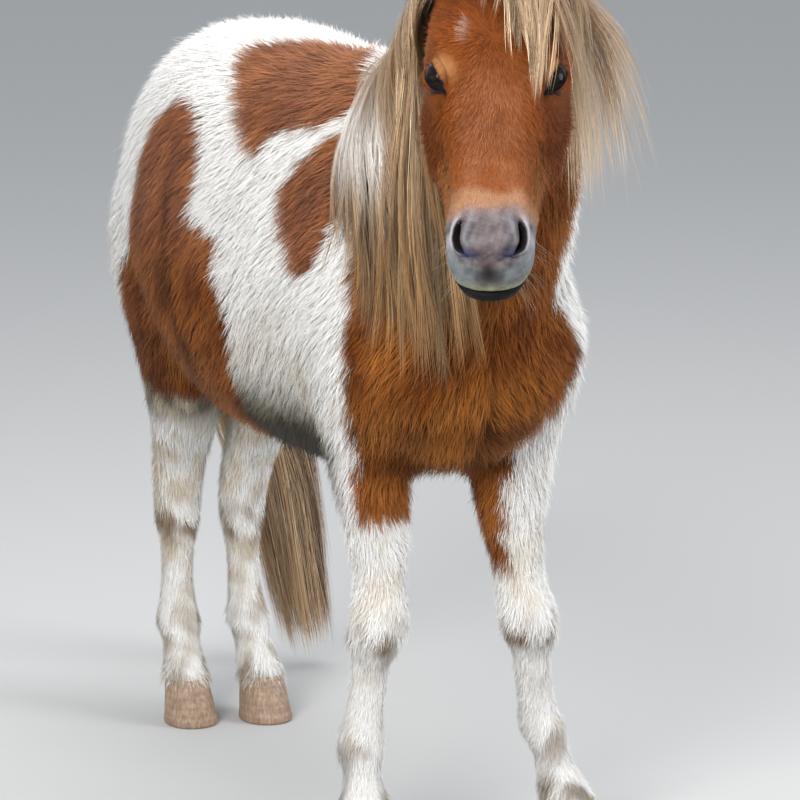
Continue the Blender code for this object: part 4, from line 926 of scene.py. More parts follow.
def unwrap(P):
    """Place of a root on an unwrap of the skin's own shape: along each part and round it."""
    head, neck, leg = weights(P)
    u, v, w = to_head(P)
    a_t = np.arctan2(P[:, 0], P[:, 2] - 0.64)
    along_t = P[:, 1]
    a_n = np.arctan2(P[:, 0] + 0.04, dot(P - np.array((0, -0.1, 0.83)), unit(np.array((0, -0.45, 0.85)))))
    return along_t, a_t, u, np.arctan2(v, w + 0.06), a_n

def blades(name, P, N, D, L, W, lift, bend, pull, root_col, tip_col, uv, rng, pieces_seg=2, mat=None, roll=0.6):
    """A piece of coat: one thin tapering tuft for each root, laid along the skin."""
    n = len(P)
    seg = pieces_seg
    side = unit(np.cross(D, N))
    ro = rng.uniform(-roll, roll, n)[:, None]
    wide = side * np.cos(ro) + N * np.sin(ro)
    pts = [P - N * 0.0006]
    step = (L / seg)[:, None]
    cur = pts[0]
    for k in range(seg):
        ang = (lift - bend * (k + 0.5) / seg)[:, None]
        cur = cur + (D * np.cos(ang) + N * np.sin(ang)) * step + pull * ((2 * k + 1) / seg ** 2)
        pts.append(cur)
    per = 2 * seg + 1
    V = np.empty((n, per, 3))
    NV = np.empty((n, per, 3))
    C = np.ones((n, per, 4))
    UV = np.empty((n, per, 2))
    for k in range(seg):
        f = k / seg
        half = (W * (0.42 + 0.16 * math.sin(math.pi * min(1.0, f * 1.6 + 0.2)))) * (1 - 0.45 * f)
        V[:, 2 * k] = pts[k] - wide * half[:, None]
        V[:, 2 * k + 1] = pts[k] + wide * half[:, None]
        NV[:, 2 * k] = unit(N - 0.40 * side)
        NV[:, 2 * k + 1] = unit(N + 0.40 * side)
        C[:, 2 * k, :3] = C[:, 2 * k + 1, :3] = root_col + (tip_col - root_col) * f
        UV[:, 2 * k] = uv + (-0.0015, -0.0015 + 0.003 * f)
        UV[:, 2 * k + 1] = uv + (0.0015, -0.0015 + 0.003 * f)
    V[:, -1] = pts[seg]
    NV[:, -1] = unit(N + 0.15 * D)
    C[:, -1, :3] = tip_col
    UV[:, -1] = uv + (0, 0.0015)
    base = (np.arange(n) * per)[:, None]
    quad = np.concatenate([base + np.array((2 * k, 2 * k + 1, 2 * k + 3, 2 * k + 2)) for k in range(seg - 1)], 1).reshape(n, -1) if seg > 1 else np.empty((n, 0), int)
    tri = base + np.array((2 * seg - 2, 2 * seg - 1, 2 * seg))
    loops = np.concatenate([quad, tri], 1)
    sizes = np.tile(np.array([4] * (seg - 1) + [3]), n)
    # tufts face outwards
    e1 = V[:, 1] - V[:, 0]
    e2 = V[:, 2] - V[:, 0]
    flip = dot(np.cross(e1, e2), N) < 0
    for blk in range(seg - 1):
        sl = slice(4 * blk, 4 * blk + 4)
        loops[flip, sl] = loops[flip, sl][:, ::-1]
    loops[flip, -3:] = loops[flip, -3:][:, ::-1]
    return strips(name, V.reshape(-1, 3), loops.ravel(), sizes, NV.reshape(-1, 3), C.reshape(-1, 4), UV.reshape(-1, 2), mat)

def strips(name, V, loops, sizes, NV, C, UV, mat):
    me = bpy.data.meshes.new(name)
    me.vertices.add(len(V))
    me.vertices.foreach_set("co", V.astype(np.float32).ravel())
    me.loops.add(len(loops))
    me.loops.foreach_set("vertex_index", loops.astype(np.int32))
    me.polygons.add(len(sizes))
    start = np.concatenate([[0], np.cumsum(sizes)[:-1]]).astype(np.int32)
    me.polygons.foreach_set("loop_start", start)
    me.update(calc_edges=True)
    uvl = me.uv_layers.new(name="OFBake")
    uvl.uv.foreach_set("vector", UV[loops].astype(np.float32).ravel())
    at = me.attributes.new("coat_col", "FLOAT_COLOR", "POINT")
    at.data.foreach_set("color", np.clip(C, 0, 1).astype(np.float32).ravel())
    me.shade_smooth()
    me.normals_split_custom_set_from_vertices(NV.astype(np.float32))
    ob = link(bpy.data.objects.new(name, me))
    if mat:
        me.materials.append(mat)
    return ob
# ---------------------------------------------------------------- materials
def material(name, **sockets):
    m = bpy.data.materials.new(name)
    m.use_nodes = True
    b = m.node_tree.nodes["Principled BSDF"]
    for k, v in sockets.items():
        key = k.replace("_", " ")
        b.inputs[key].default_value = tuple(v) + (1.0,) if isinstance(v, tuple) and len(v) == 3 else v
    return m, m.node_tree.nodes, m.node_tree.links, b

def noise(nodes, links, scale, detail=4.0, rough=0.55, vector=None):
    n = nodes.new("ShaderNodeTexNoise")
    n.inputs["Scale"].default_value = scale
    n.inputs["Detail"].default_value = detail
    n.inputs["Roughness"].default_value = rough
    if vector is not None:
        links.new(vector, n.inputs["Vector"])
    return n

def attribute(nodes, name):
    a = nodes.new("ShaderNodeAttribute")
    a.attribute_name = name
    return a

def times(nodes, links, colour, factor):
    """colour multiplied by a factor socket."""
    m = nodes.new("ShaderNodeMix")
    m.data_type, m.blend_type = "RGBA", "MULTIPLY"
    m.inputs["Factor"].default_value = 1.0
    links.new(colour, m.inputs["A"])
    links.new(factor, m.inputs["B"])
    return m.outputs["Result"]

def ramp(nodes, links, value, stops):
    r = nodes.new("ShaderNodeValToRGB")
    e = r.color_ramp.elements
    while len(e) < len(stops):
        e.new(0.5)
    for el, (pos, col) in zip(e, stops):
        el.position = pos
        el.color = tuple(col) + (1.0,)
    links.new(value, r.inputs["Fac"])
    return r.outputs["Color"]

def coat_material(name, rough, fine=900.0):
    m, n, l, b = material(name, Roughness=rough)
    b.inputs["Specular IOR Level"].default_value = 0.09
    b.inputs["Sheen Weight"].default_value = 0.02
    b.inputs["Sheen Roughness"].default_value = 0.5
    a = attribute(n, "coat_col")
    t = n.new("ShaderNodeTexCoord")
    grain = noise(n, l, fine, 2.0, 0.6, t.outputs["Object"])
    grey = ramp(n, l, grain.outputs["Fac"], [(0.25, (0.86, 0.86, 0.86)), (0.75, (1.0, 1.0, 1.0))])
    l.new(times(n, l, a.outputs["Color"], grey), b.inputs["Base Color"])
    return m

def skin_material():
    m, n, l, b = material("pony_skin_down", Roughness=0.58)
    b.inputs["Specular IOR Level"].default_value = 0.08
    a = attribute(n, "coat_col")
    bare = attribute(n, "bare")
    t = n.new("ShaderNodeTexCoord")
    grain = noise(n, l, 520.0, 5.0, 0.6, t.outputs["Object"])
    blotch = noise(n, l, 90.0, 3.0, 0.5, t.outputs["Object"])
    g1 = ramp(n, l, grain.outputs["Fac"], [(0.30, (0.78, 0.78, 0.78)), (0.70, (1.06, 1.05, 1.04))])
    g2 = ramp(n, l, blotch.outputs["Fac"], [(0.30, (0.88, 0.87, 0.88)), (0.70, (1.05, 1.05, 1.05))])
    l.new(times(n, l, times(n, l, a.outputs["Color"], g1), g2), b.inputs["Base Color"])
    pores = n.new("ShaderNodeTexVoronoi")
    pores.inputs["Scale"].default_value = 900.0
    l.new(t.outputs["Object"], pores.inputs["Vector"])
    mixer = n.new("ShaderNodeMath")
    mixer.operation = "ADD"
    l.new(pores.outputs["Distance"], mixer.inputs[0])
    l.new(grain.outputs["Fac"], mixer.inputs[1])
    bump = n.new("ShaderNodeBump")
    bump.inputs["Strength"].default_value = 0.35
    bump.inputs["Distance"].default_value = 0.0006
    l.new(mixer.outputs[0], bump.inputs["Height"])
    l.new(bump.outputs["Normal"], b.inputs["Normal"])
    return m

def horn_material():
    m, n, l, b = material("pony_hoof_horn", Roughness=0.55)
    b.inputs["Specular IOR Level"].default_value = 0.35
    t = n.new("ShaderNodeTexCoord")
    sep = n.new("ShaderNodeSeparateXYZ")
    l.new(t.outputs["Object"], sep.inputs[0])
    wob = noise(n, l, 26.0, 3.0, 0.5, t.outputs["Object"])
    add = n.new("ShaderNodeMath")
    add.operation = "MULTIPLY_ADD"
    l.new(wob.outputs["Fac"], add.inputs[0])
    add.inputs[1].default_value = 0.006
    l.new(sep.outputs["Z"], add.inputs[2])
    comb = n.new("ShaderNodeCombineXYZ")
    l.new(add.outputs[0], comb.inputs["Z"])
    rings = n.new("ShaderNodeTexWave")
    rings.wave_type, rings.bands_direction = "BANDS", "Z"
    rings.inputs["Scale"].default_value = 34.0
    rings.inputs["Distortion"].default_value = 0.6
    l.new(comb.outputs[0], rings.inputs["Vector"])
    fibre = noise(n, l, 12.0, 4.0, 0.6)
    mp = n.new("ShaderNodeMapping")
    mp.inputs["Scale"].default_value = (26.0, 26.0, 0.6)
    l.new(t.outputs["Object"], mp.inputs["Vector"])
    l.new(mp.outputs["Vector"], fibre.inputs["Vector"])
    base = ramp(n, l, fibre.outputs["Fac"], [(0.30, (0.20, 0.135, 0.095)), (0.50, (0.28, 0.195, 0.135)), (0.70, (0.37, 0.275, 0.195))])
    band = ramp(n, l, rings.outputs["Fac"], [(0.0, (0.92, 0.91, 0.90)), (1.0, (1.03, 1.02, 1.01))])
    mud = noise(n, l, 60.0, 4.0, 0.6, t.outputs["Object"])
    dirt = ramp(n, l, mud.outputs["Fac"], [(0.34, (0.78, 0.74, 0.69)), (0.68, (1.0, 1.0, 1.0))])
    l.new(times(n, l, times(n, l, base, band), dirt), b.inputs["Base Color"])
    bump = n.new("ShaderNodeBump")
    bump.inputs["Strength"].default_value = 0.26
    bump.inputs["Distance"].default_value = 0.0010
    l.new(rings.outputs["Fac"], bump.inputs["Height"])
    b2 = n.new("ShaderNodeBump")
    b2.inputs["Strength"].default_value = 0.22
    b2.inputs["Distance"].default_value = 0.0006
    l.new(mud.outputs["Fac"], b2.inputs["Height"])
    l.new(bump.outputs["Normal"], b2.inputs["Normal"])
    l.new(b2.outputs["Normal"], b.inputs["Normal"])
    return m

def eye_material():
    m, n, l, b = material("pony_eye_wet", Roughness=0.04)
    b.inputs["IOR"].default_value = 1.376
    b.inputs["Specular IOR Level"].default_value = 0.11
    a = attribute(n, "coat_col")
    l.new(a.outputs["Color"], b.inputs["Base Color"])
    return m

# ---------------------------------------------------------------- the eyeball
def eyeball_piece(side, name, mat):
    """A round eye with a slightly raised clear front, a dark brown iris and a long level pupil."""
    c, a, t, b = eye_frame(side)
    bm = bmesh.new()
    bmesh.ops.create_uvsphere(bm, u_segments=64, v_segments=40, radius=1.0)
    p = np.array([v.co for v in bm.verts])
    R = np.stack([t, b, a], 1)
    q = unit(p)
    ang = np.arccos(np.clip(q[:, 2], -1, 1))
    r = EYE_R * (1 + 0.020 * smooth(0.62, 0.25, ang))
    w = c + (q * r[:, None]) @ R.T
    for v, k in zip(bm.verts, w):
        v.co = k
    me = bpy.data.meshes.new(name)
    bm.to_mesh(me)
    bm.free()
    col = np.ones((len(p), 4))
    iris = np.array((0.008, 0.005, 0.004))
    rim = np.array((0.006, 0.005, 0.005))
    white = np.array((0.012, 0.009, 0.008))
    pupil = np.array((0.003, 0.004, 0.006))
    base = np.outer(smooth(0.60, 0.46, ang), iris) + np.outer(1 - smooth(0.60, 0.46, ang), rim)
    base = mix(base, white, smooth(0.66, 0.80, ang))
    pu = ((q[:, 0] / 0.34) ** 2 + (q[:, 1] / 0.13) ** 2) ** 0.5
    base = mix(base, pupil, smooth(1.15, 0.85, pu))
    col[:, :3] = base
    at = me.attributes.new("coat_col", "FLOAT_COLOR", "POINT")
    at.data.foreach_set("color", col.astype(np.float32).ravel())
    me.shade_smooth()
    me.materials.append(mat)
    return link(bpy.data.objects.new(name, me))

# ---------------------------------------------------------------- the hoof
def hoof_piece(leg, name, mat):
    """A small round hoof with growth rings, a rounded toe, a rim worn flat and a soft band at the hair."""
    scale = 0.98 if leg.startswith("fore") else 0.86
    base = hoof_rings(LINES[leg], 72, scale)
    zs = np.array([r[0, 2] for r in base])
    stack = np.array([r.reshape(-1) for r in base])
    at = np.concatenate([[0.0, 0.0006, 0.0015], np.linspace(0.003, 0.058, 60)])
    S = through(zs, stack, at).reshape(len(at), 72, 3)
    rings = []
    for k, (z, ring) in enumerate(zip(at, S)):
        c = ring.mean(0)
        d = ring - c
        grow = 1 - 0.020 - 0.006 * (0.5 + 0.5 * math.sin(z * 1150.0 + 0.8 * math.sin(z * 300))) * smooth(0.003, 0.008, z) + 0.008 * smooth(0.051, 0.056, z)
        wob = 1 + 0.006 * waves(ring, 0.018, 2)
        if z < 0.001:
            grow -= 0.018 * (1 - z / 0.001)
        q = c + d * (grow * wob)[:, None]
        q[:, 2] = z
        rings.append(q)
    ob = skin_rings(name, rings)
    ob.data.materials.append(mat)
    ob.data.shade_smooth()
    return ob

# ---------------------------------------------------------------- the whole
def paint_points(me, col, name="coat_col"):
    c = np.ones((len(me.vertices), 4), np.float32)
    c[:, :3] = np.clip(col, 0, 1)
    at = me.attributes.new(name, "FLOAT_COLOR", "POINT")
    at.data.foreach_set("color", c.ravel())

def whole_skin():
    ob = body_skin()
    head_detail(ob)
    ears = [ear_shell(s) for s in (-1, 1)]
    for e in ears:
        m = ob.modifiers.new("ear", "BOOLEAN")
        m.operation, m.object, m.solver = "UNION", e, "EXACT"
    applied(ob)
    for e in ears:
        bpy.data.objects.remove(e)
    relax(ob.data, lambda p: smooth(0.030, 0.012, np.minimum(*[np.abs((p - headp(0.008, s * 0.047, -0.010)) @ ear_rings(s, 8)[2] - 0.006) + 10 * (np.linalg.norm(p - headp(0.008, s * 0.047, -0.010), axis=1) > 0.045) for s in (-1, 1)])), 6)
    return ob
# ---------------------------------------------------------------- ears in the coat
def ear_line(side):
    _r, base, axis, fwd, lat = ear_rings(side, 8, 4)
    return base, axis

def ear_weight(p):
    """1 on the free part of either ear, with the ear's axis and how far up it a point lies."""
    wgt, ax, up = np.zeros(len(p)), np.zeros_like(p), np.zeros(len(p))
    for s in (-1, 1):
        base, axis = ear_line(s)
        q = p - base
        h = q @ axis
        r = np.linalg.norm(q - h[:, None] * axis, axis=1)
        w = smooth(0.036, 0.028, r) * smooth(-0.002, 0.012, h)
        m = w > wgt
        wgt[m], up[m] = w[m], h[m]
        ax[m] = axis
    return wgt, ax, up

# ---------------------------------------------------------------- the short coat
MUZZLE_EDGE = 0.327
WHITE_Z = 0.852  # height of the bleached part of the mane

def coat_density(p, n):
    """Tufts to the square metre."""
    head, neck, leg = weights(p)
    u, v, w = to_head(p)
    ear, _a, _h = ear_weight(p)
    d = 165e3 * (1 - head) + 600e3 * head
    d = d * (1 - leg) + 250e3 * leg
    d = d * (1 - 0.45 * head * smooth(-0.02, -0.10, w)) * (1 - 0.3 * ear)
    d = d * (1 - smooth(0.0, 0.2, head) * smooth(MUZZLE_EDGE - 0.004, MUZZLE_EDGE + 0.020, u + 0.10 * np.clip(-w - 0.045, 0, 0.05)) ** 0.5)
    d = np.where(p[:, 2] < 0.058, 0, d)
    for s in (-1, 1):
        q, r, z, rho, y = eye_rho(p, s)
        d = np.where((r < 0.040) & (z > -0.004) & (rho < np.where(y > 0, 1.92, 1.90)), 0, d)
    return d * 0.945

def coat_pieces(skin, mat, share=1.0):
    P, N, rng = scatter(skin, lambda p, n: coat_density(p, n) * share, 5)
    head, neck, leg = weights(P)
    ear, axis, up = ear_weight(P)
    u, v, w = to_head(P)
    D = lie(P, N)
    ed = unit(axis + 0.15 * rng.normal(size=P.shape))
    ed = unit(ed - N * dot(ed, N)[:, None])
    D = unit(D * (1 - ear)[:, None] + ed * ear[:, None])
    n = len(P)
    L = hair_length(P, N)
    L = L * (1 - ear) + 0.0095 * ear
    # each clump leans and grows a little its own way
    size = np.where(leg > 0.5, 0.0048, np.where(head > 0.5, 0.0036, 0.0066))
    off, r1, r2, r3 = np.zeros_like(P), np.zeros(n), np.zeros(n), np.zeros(n)
    for s in np.unique(size):
        k = size == s
        off[k], r1[k], r2[k], r3[k] = clump_pull(P[k], D[k], N[k], s)
    S = np.cross(N, D)
    D = unit(D + S * ((r1 - 0.5) * 0.55)[:, None] + 0.10 * rng.normal(size=P.shape))
    D = unit(D - N * dot(D, N)[:, None])
    L = L * (0.78 + 0.34 * r2) * rng.uniform(0.80, 1.15, n)
    lift = 0.60 * (1 - head) + 0.34 * head
    lift = lift * (1 - leg) + 0.52 * leg
    lift = lift + (r3 - 0.5) * 0.22 + rng.normal(0, 0.07, n)
    strays = rng.random(n) < 0.02
    lift = np.where(strays, lift + 0.30, lift)
    lift = np.clip(lift, 0.08, 1.1)
    bend = np.where(head > 0.5, 0.30, 0.48) * rng.uniform(0.7, 1.2, n)
    W = np.where(head > 0.5, 0.00060, np.where(leg > 0.5, 0.00079, 0.00100)) * rng.uniform(0.75, 1.25, n)
    W = W * (1 + 0.5 * ear)
    pull = off * np.where(head > 0.5, 0.26, 0.30)[:, None] * np.clip(L / 0.026, 0.3, 1.2)[:, None]
    pull = np.where(strays[:, None], 0, pull)
    col, m = coat_colour(P, 0.010, rng.random(n))
    inner = ear * smooth(0.2, 0.7, dot(N, unit(HW * 0.50 + HU * 0.80)[None, :] * np.ones_like(N)))
    col = mix(col, np.array((0.50, 0.30, 0.17)), 0.55 * inner)
    vary = np.where(head > 0.5, 0.74, 0.60) * (0.22 + 0.78 * m)
    tone = (1 - vary / 2 + vary * r2) * (1 + rng.uniform(-0.10, 0.10, n) * (0.4 + 0.6 * m))
    # roots darker than tips: painted shade deep in the coat; the chestnut's paler tips are its own bleached colour
    root = col * (0.50 + 0.34 * (1 - m))[:, None] * tone[:, None]
    tip = col * np.where(m > 0.5, 1.30, 1.04)[:, None] * tone[:, None]
    # bleached tips here and there in the chestnut
    sun = m * (1 - head) * smooth(0.72, 0.95, rng.random(n))
    tip = mix(tip, np.array((0.46, 0.20, 0.075)), 0.45 * sun)
    # where each root lies on an unwrap of the skin: along a part and round it
    names = {}
    side = np.where(P[:, 0] < 0.0, "R", "L")
    is_head = head > 0.5
    is_ear = ear > 0.5
    is_leg = (P[:, 2] < 0.44) & (leg > 0.3)
    neck_axis = unit(np.array((0, -0.71, 0.70)))
    along_neck = (P - np.array((0, -0.07, 0.81))) @ neck_axis
    is_neck = (along_neck > 0.0) & ~is_head & ~is_leg
    places = []
    def add(name, pick, a, b):
        places.append((name, np.nonzero(pick)[0], a, b))
    ang_head = np.arctan2(v, w + 0.06)
    add("coat_face", is_head & ~is_ear & (u > 0.10) & (w > -0.05), u, ang_head)
    add("coat_cheeks", is_head & ~is_ear & ~((u > 0.10) & (w > -0.05)), u, np.where(ang_head > 3.0, ang_head - 2 * math.pi, ang_head))
    base_r, axis_r = ear_line(-1)
    base_l, axis_l = ear_line(1)
    ang_ear = np.where(v < 0, np.arctan2((P - base_r) @ HV, (P - base_r) @ HU), 7.0 + np.arctan2((P - base_l) @ HV, (P - base_l) @ HU))
    add("coat_ears", is_ear & is_head, up, ang_ear)
    ang_neck = np.arctan2(P[:, 0] + 0.03, (P - np.array((0, -0.14, 0.83))) @ np.cross(np.array((1.0, 0, 0)), -neck_axis))
    add("coat_neck_R", is_neck & (P[:, 0] < -0.02), along_neck, ang_neck)
    add("coat_neck_L", is_neck & (P[:, 0] >= -0.02), along_neck, ang_neck)
    is_ear_rest = is_ear & ~is_head
    for leg_name, line in LINES.items():
        pick = is_leg & ((P[:, 1] < 0.3) == leg_name.startswith("fore")) & ((P[:, 0] < (0.004 if leg_name.startswith("fore") else -0.010)) == leg_name.endswith("R"))
        Ln = np.array(line)[::-1]
        cx, cy = np.interp(P[:, 2], Ln[:, 0], Ln[:, 1]), np.interp(P[:, 2], Ln[:, 0], Ln[:, 2])
        add("coat_" + leg_name, pick & ~is_head, P[:, 2], np.arctan2(P[:, 1] - cy, P[:, 0] - cx))
    rest = ~(is_head | is_neck | is_leg) | is_ear_rest
    ang = np.arctan2(P[:, 0], P[:, 2] - 0.64)
    bounds_y = [-1.0, 0.10, 0.26, 0.41, 0.56, 2.0]
    for k, (y0, y1) in enumerate(zip(bounds_y[:-1], bounds_y[1:])):
        add("coat_trunk_%d" % (k + 1), rest & (P[:, 1] >= y0) & (P[:, 1] < y1), P[:, 1], ang)
    out = []
    for name, i, a, b in places:
        if len(i) == 0:
            continue
        a, b = a[i], b[i]
        uv = np.stack([(a - a.min()) / max(np.ptp(a), 1e-6), (b - b.min()) / max(np.ptp(b), 1e-6)], 1) * 0.99 + 0.005
        o = blades(name, P[i], N[i], D[i], L[i], W[i], lift[i], bend[i], pull[i], root[i], tip[i], uv, rng, 2, mat)
        out.append(o)
    return out

# ---------------------------------------------------------------- long hair
def hair_ribbons(name, paths, facing, widths, cols, uv, mat):
    """Long hairs: each path is a narrow ribbon that ends in a point."""
    n, k, _ = paths.shape
    tg = np.gradient(paths, axis=1)
    tg = unit(tg + 1e-12)
    side = unit(np.cross(tg, facing) + 1e-12)
    up = unit(np.cross(side, tg))
    per = 2 * (k - 1) + 1
    V, NV, C, UV = np.empty((n, per, 3)), np.empty((n, per, 3)), np.ones((n, per, 4)), np.empty((n, per, 2))
    half = widths[:, :, None] / 2
    V[:, 0:-1:2], V[:, 1:-1:2] = (paths - side * half)[:, :-1], (paths + side * half)[:, :-1]
    NV[:, 0:-1:2], NV[:, 1:-1:2] = unit(up - 0.55 * side)[:, :-1], unit(up + 0.55 * side)[:, :-1]
    V[:, -1], NV[:, -1] = paths[:, -1], up[:, -1]
    C[:, 0:-1:2, :3] = C[:, 1:-1:2, :3] = cols[:, :-1]
    C[:, -1, :3] = cols[:, -1]
    f = np.linspace(0, 1, k)
    UV[:, 0:-1:2] = uv[:, None] + np.stack([np.full(k - 1, -0.0015), -0.0015 + 0.003 * f[:-1]], 1)
    UV[:, 1:-1:2] = uv[:, None] + np.stack([np.full(k - 1, 0.0015), -0.0015 + 0.003 * f[:-1]], 1)
    UV[:, -1] = uv + (0, 0.0015)
    base = (np.arange(n) * per)[:, None]
    quad = [base + np.array((2 * j, 2 * j + 1, 2 * j + 3, 2 * j + 2)) for j in range(k - 2)]
    tri = base + np.array((2 * k - 4, 2 * k - 3, 2 * k - 2))
    loops = np.concatenate(quad + [tri], 1)
    sizes = np.tile(np.array([4] * (k - 2) + [3]), n)
    e1, e2 = V[:, 1] - V[:, 0], V[:, 2] - V[:, 0]
    flip = dot(np.cross(e1, e2), up[:, 0]) < 0
    for j in range(k - 2):
        loops[flip, 4 * j:4 * j + 4] = loops[flip, 4 * j:4 * j + 4][:, ::-1]
    loops[flip, -3:] = loops[flip, -3:][:, ::-1]
    return strips(name, V.reshape(-1, 3), loops.ravel(), sizes, NV.reshape(-1, 3), C.reshape(-1, 4), UV.reshape(-1, 2), mat)

def spline_paths(ctrl, steps):
    """Smooth paths through rows of control points: (n, c, 3) to (n, steps, 3)."""
    n, c, _ = ctrl.shape
    d = np.linalg.norm(np.diff(ctrl.mean(0), axis=0), axis=1)
    t = np.concatenate([[0], np.cumsum(d)]) / d.sum()
    flat = ctrl.transpose(1, 0, 2).reshape(c, -1)
    at = np.linspace(0, 1, steps)
    return through(t, flat, at).reshape(steps, n, 3).transpose(1, 0, 2)

def keep_off(paths, tree, clear, first=1):
    """Moves the points of the paths out to stand clear above the skin, and gives the facing at each."""
    n, k, _ = paths.shape
    face = np.empty_like(paths)
    flat = paths.reshape(-1, 3)
    fc = face.reshape(-1, 3)
    cl = np.broadcast_to(clear, (n, k)).reshape(-1)
    for i, p in enumerate(flat):
        co, no, _i, dist = tree.find_nearest(Vector(p), 0.30)
        if co is None:
            fc[i] = (0, 0, 1)
            continue
        no = np.array(no)
        h = (p - np.array(co)) @ no
        fc[i] = no
        if h < cl[i]:
            flat[i] = p + no * (cl[i] - h)
    for _ in range(2):
        paths[:, 1:-1] = (paths[:, :-2] + 2 * paths[:, 1:-1] + paths[:, 2:]) / 4
        face[:, 1:-1] = (face[:, :-2] + 2 * face[:, 1:-1] + face[:, 2:]) / 4
    return paths, unit(face)

CREST = np.array([row[0:3] for row in NECK])[::-1][:-1]      # from the poll to the withers

def crest(s):
    d = np.linalg.norm(np.diff(CREST, axis=0), axis=1)
    t = np.concatenate([[0], np.cumsum(d)]) / d.sum()
    return through(t, CREST, np.atleast_1d(s))

# right side of the neck: place of the root on the crest, tip
MANE_R = [
    (0.00, (-0.066, -0.225, 0.760)), (0.03, (-0.062, -0.208, 0.700)), (0.08, (-0.036, -0.185, 0.630)), (0.14, (-0.026, -0.172, 0.588)), (0.21, (-0.052, -0.166, 0.582)), (0.28, (-0.074, -0.160, 0.582)),
    (0.36, (-0.092, -0.150, 0.588)), (0.44, (-0.108, -0.142, 0.588)), (0.52, (-0.126, -0.118, 0.620)), (0.61, (-0.140, -0.086, 0.650)),
    (0.70, (-0.144, -0.060, 0.695)), (0.79, (-0.130, -0.046, 0.730)), (0.84, (-0.106, -0.030, 0.765)), (0.96, (-0.068, 0.046, 0.795)), (1.0, (-0.050, 0.058, 0.810)),
]
MANE_L = [
    (0.00, 0.016, (0.028, -0.420, 0.875)), (0.03, 0.016, (0.036, -0.405, 0.842)), (0.10, 0.014, (0.040, -0.335, 0.800)), (0.18, 0.012, (0.046, -0.270, 0.800)),
    (0.27, 0.010, (0.062, -0.215, 0.805)), (0.36, 0.010, (0.076, -0.165, 0.815)), (0.46, 0.008, (0.088, -0.110, 0.830)),
    (0.57, 0.006, (0.102, -0.055, 0.870)), (0.75, 0.004, (0.098, 0.010, 0.880)),
]
FORELOCK = [(0.196, 0.048, 0.011), (0.172, 0.043, 0.013), (0.148, 0.030, 0.012), (0.110, 0.014, 0.014), (0.118, 0.076, 0.014), (0.062, -0.010, 0.013), (0.176, 0.089, 0.012)]

FLAX = np.array((0.47, 0.325, 0.195))
FLAX_PALE = np.array((0.76, 0.640, 0.48))
FLAX_DARK = np.array((0.145, 0.078, 0.040))
ASH = np.array((0.290, 0.215, 0.160))

def hair_colours(n, k, rng, group, dark_root=0.35, pale=0.35, warm=0.0):
    """Colours along each hair: by wisp and by hair, darker at the root and bleached towards the tip."""
    a = rng.random(n) * 0.55 + group * 0.45
    base = np.where((a < 0.20)[:, None], FLAX_DARK, np.where((a < 0.44)[:, None], ASH, np.where((a < 0.80)[:, None], FLAX, FLAX_PALE)))
    base = base * rng.uniform(0.82, 1.15, n)[:, None]
    f = np.linspace(0, 1, k)[None, :, None]
    col = base[:, None, :] * (1 - dark_root * (1 - f) ** 2)
    col = col + (FLAX_PALE - col) * (pale * f ** 1.5)
    return col * (1 + warm * np.array((0.10, 0.0, -0.12)))

def wisps(rng, count, per):
    """Index of the wisp of each hair."""
    return np.repeat(np.arange(count), per)

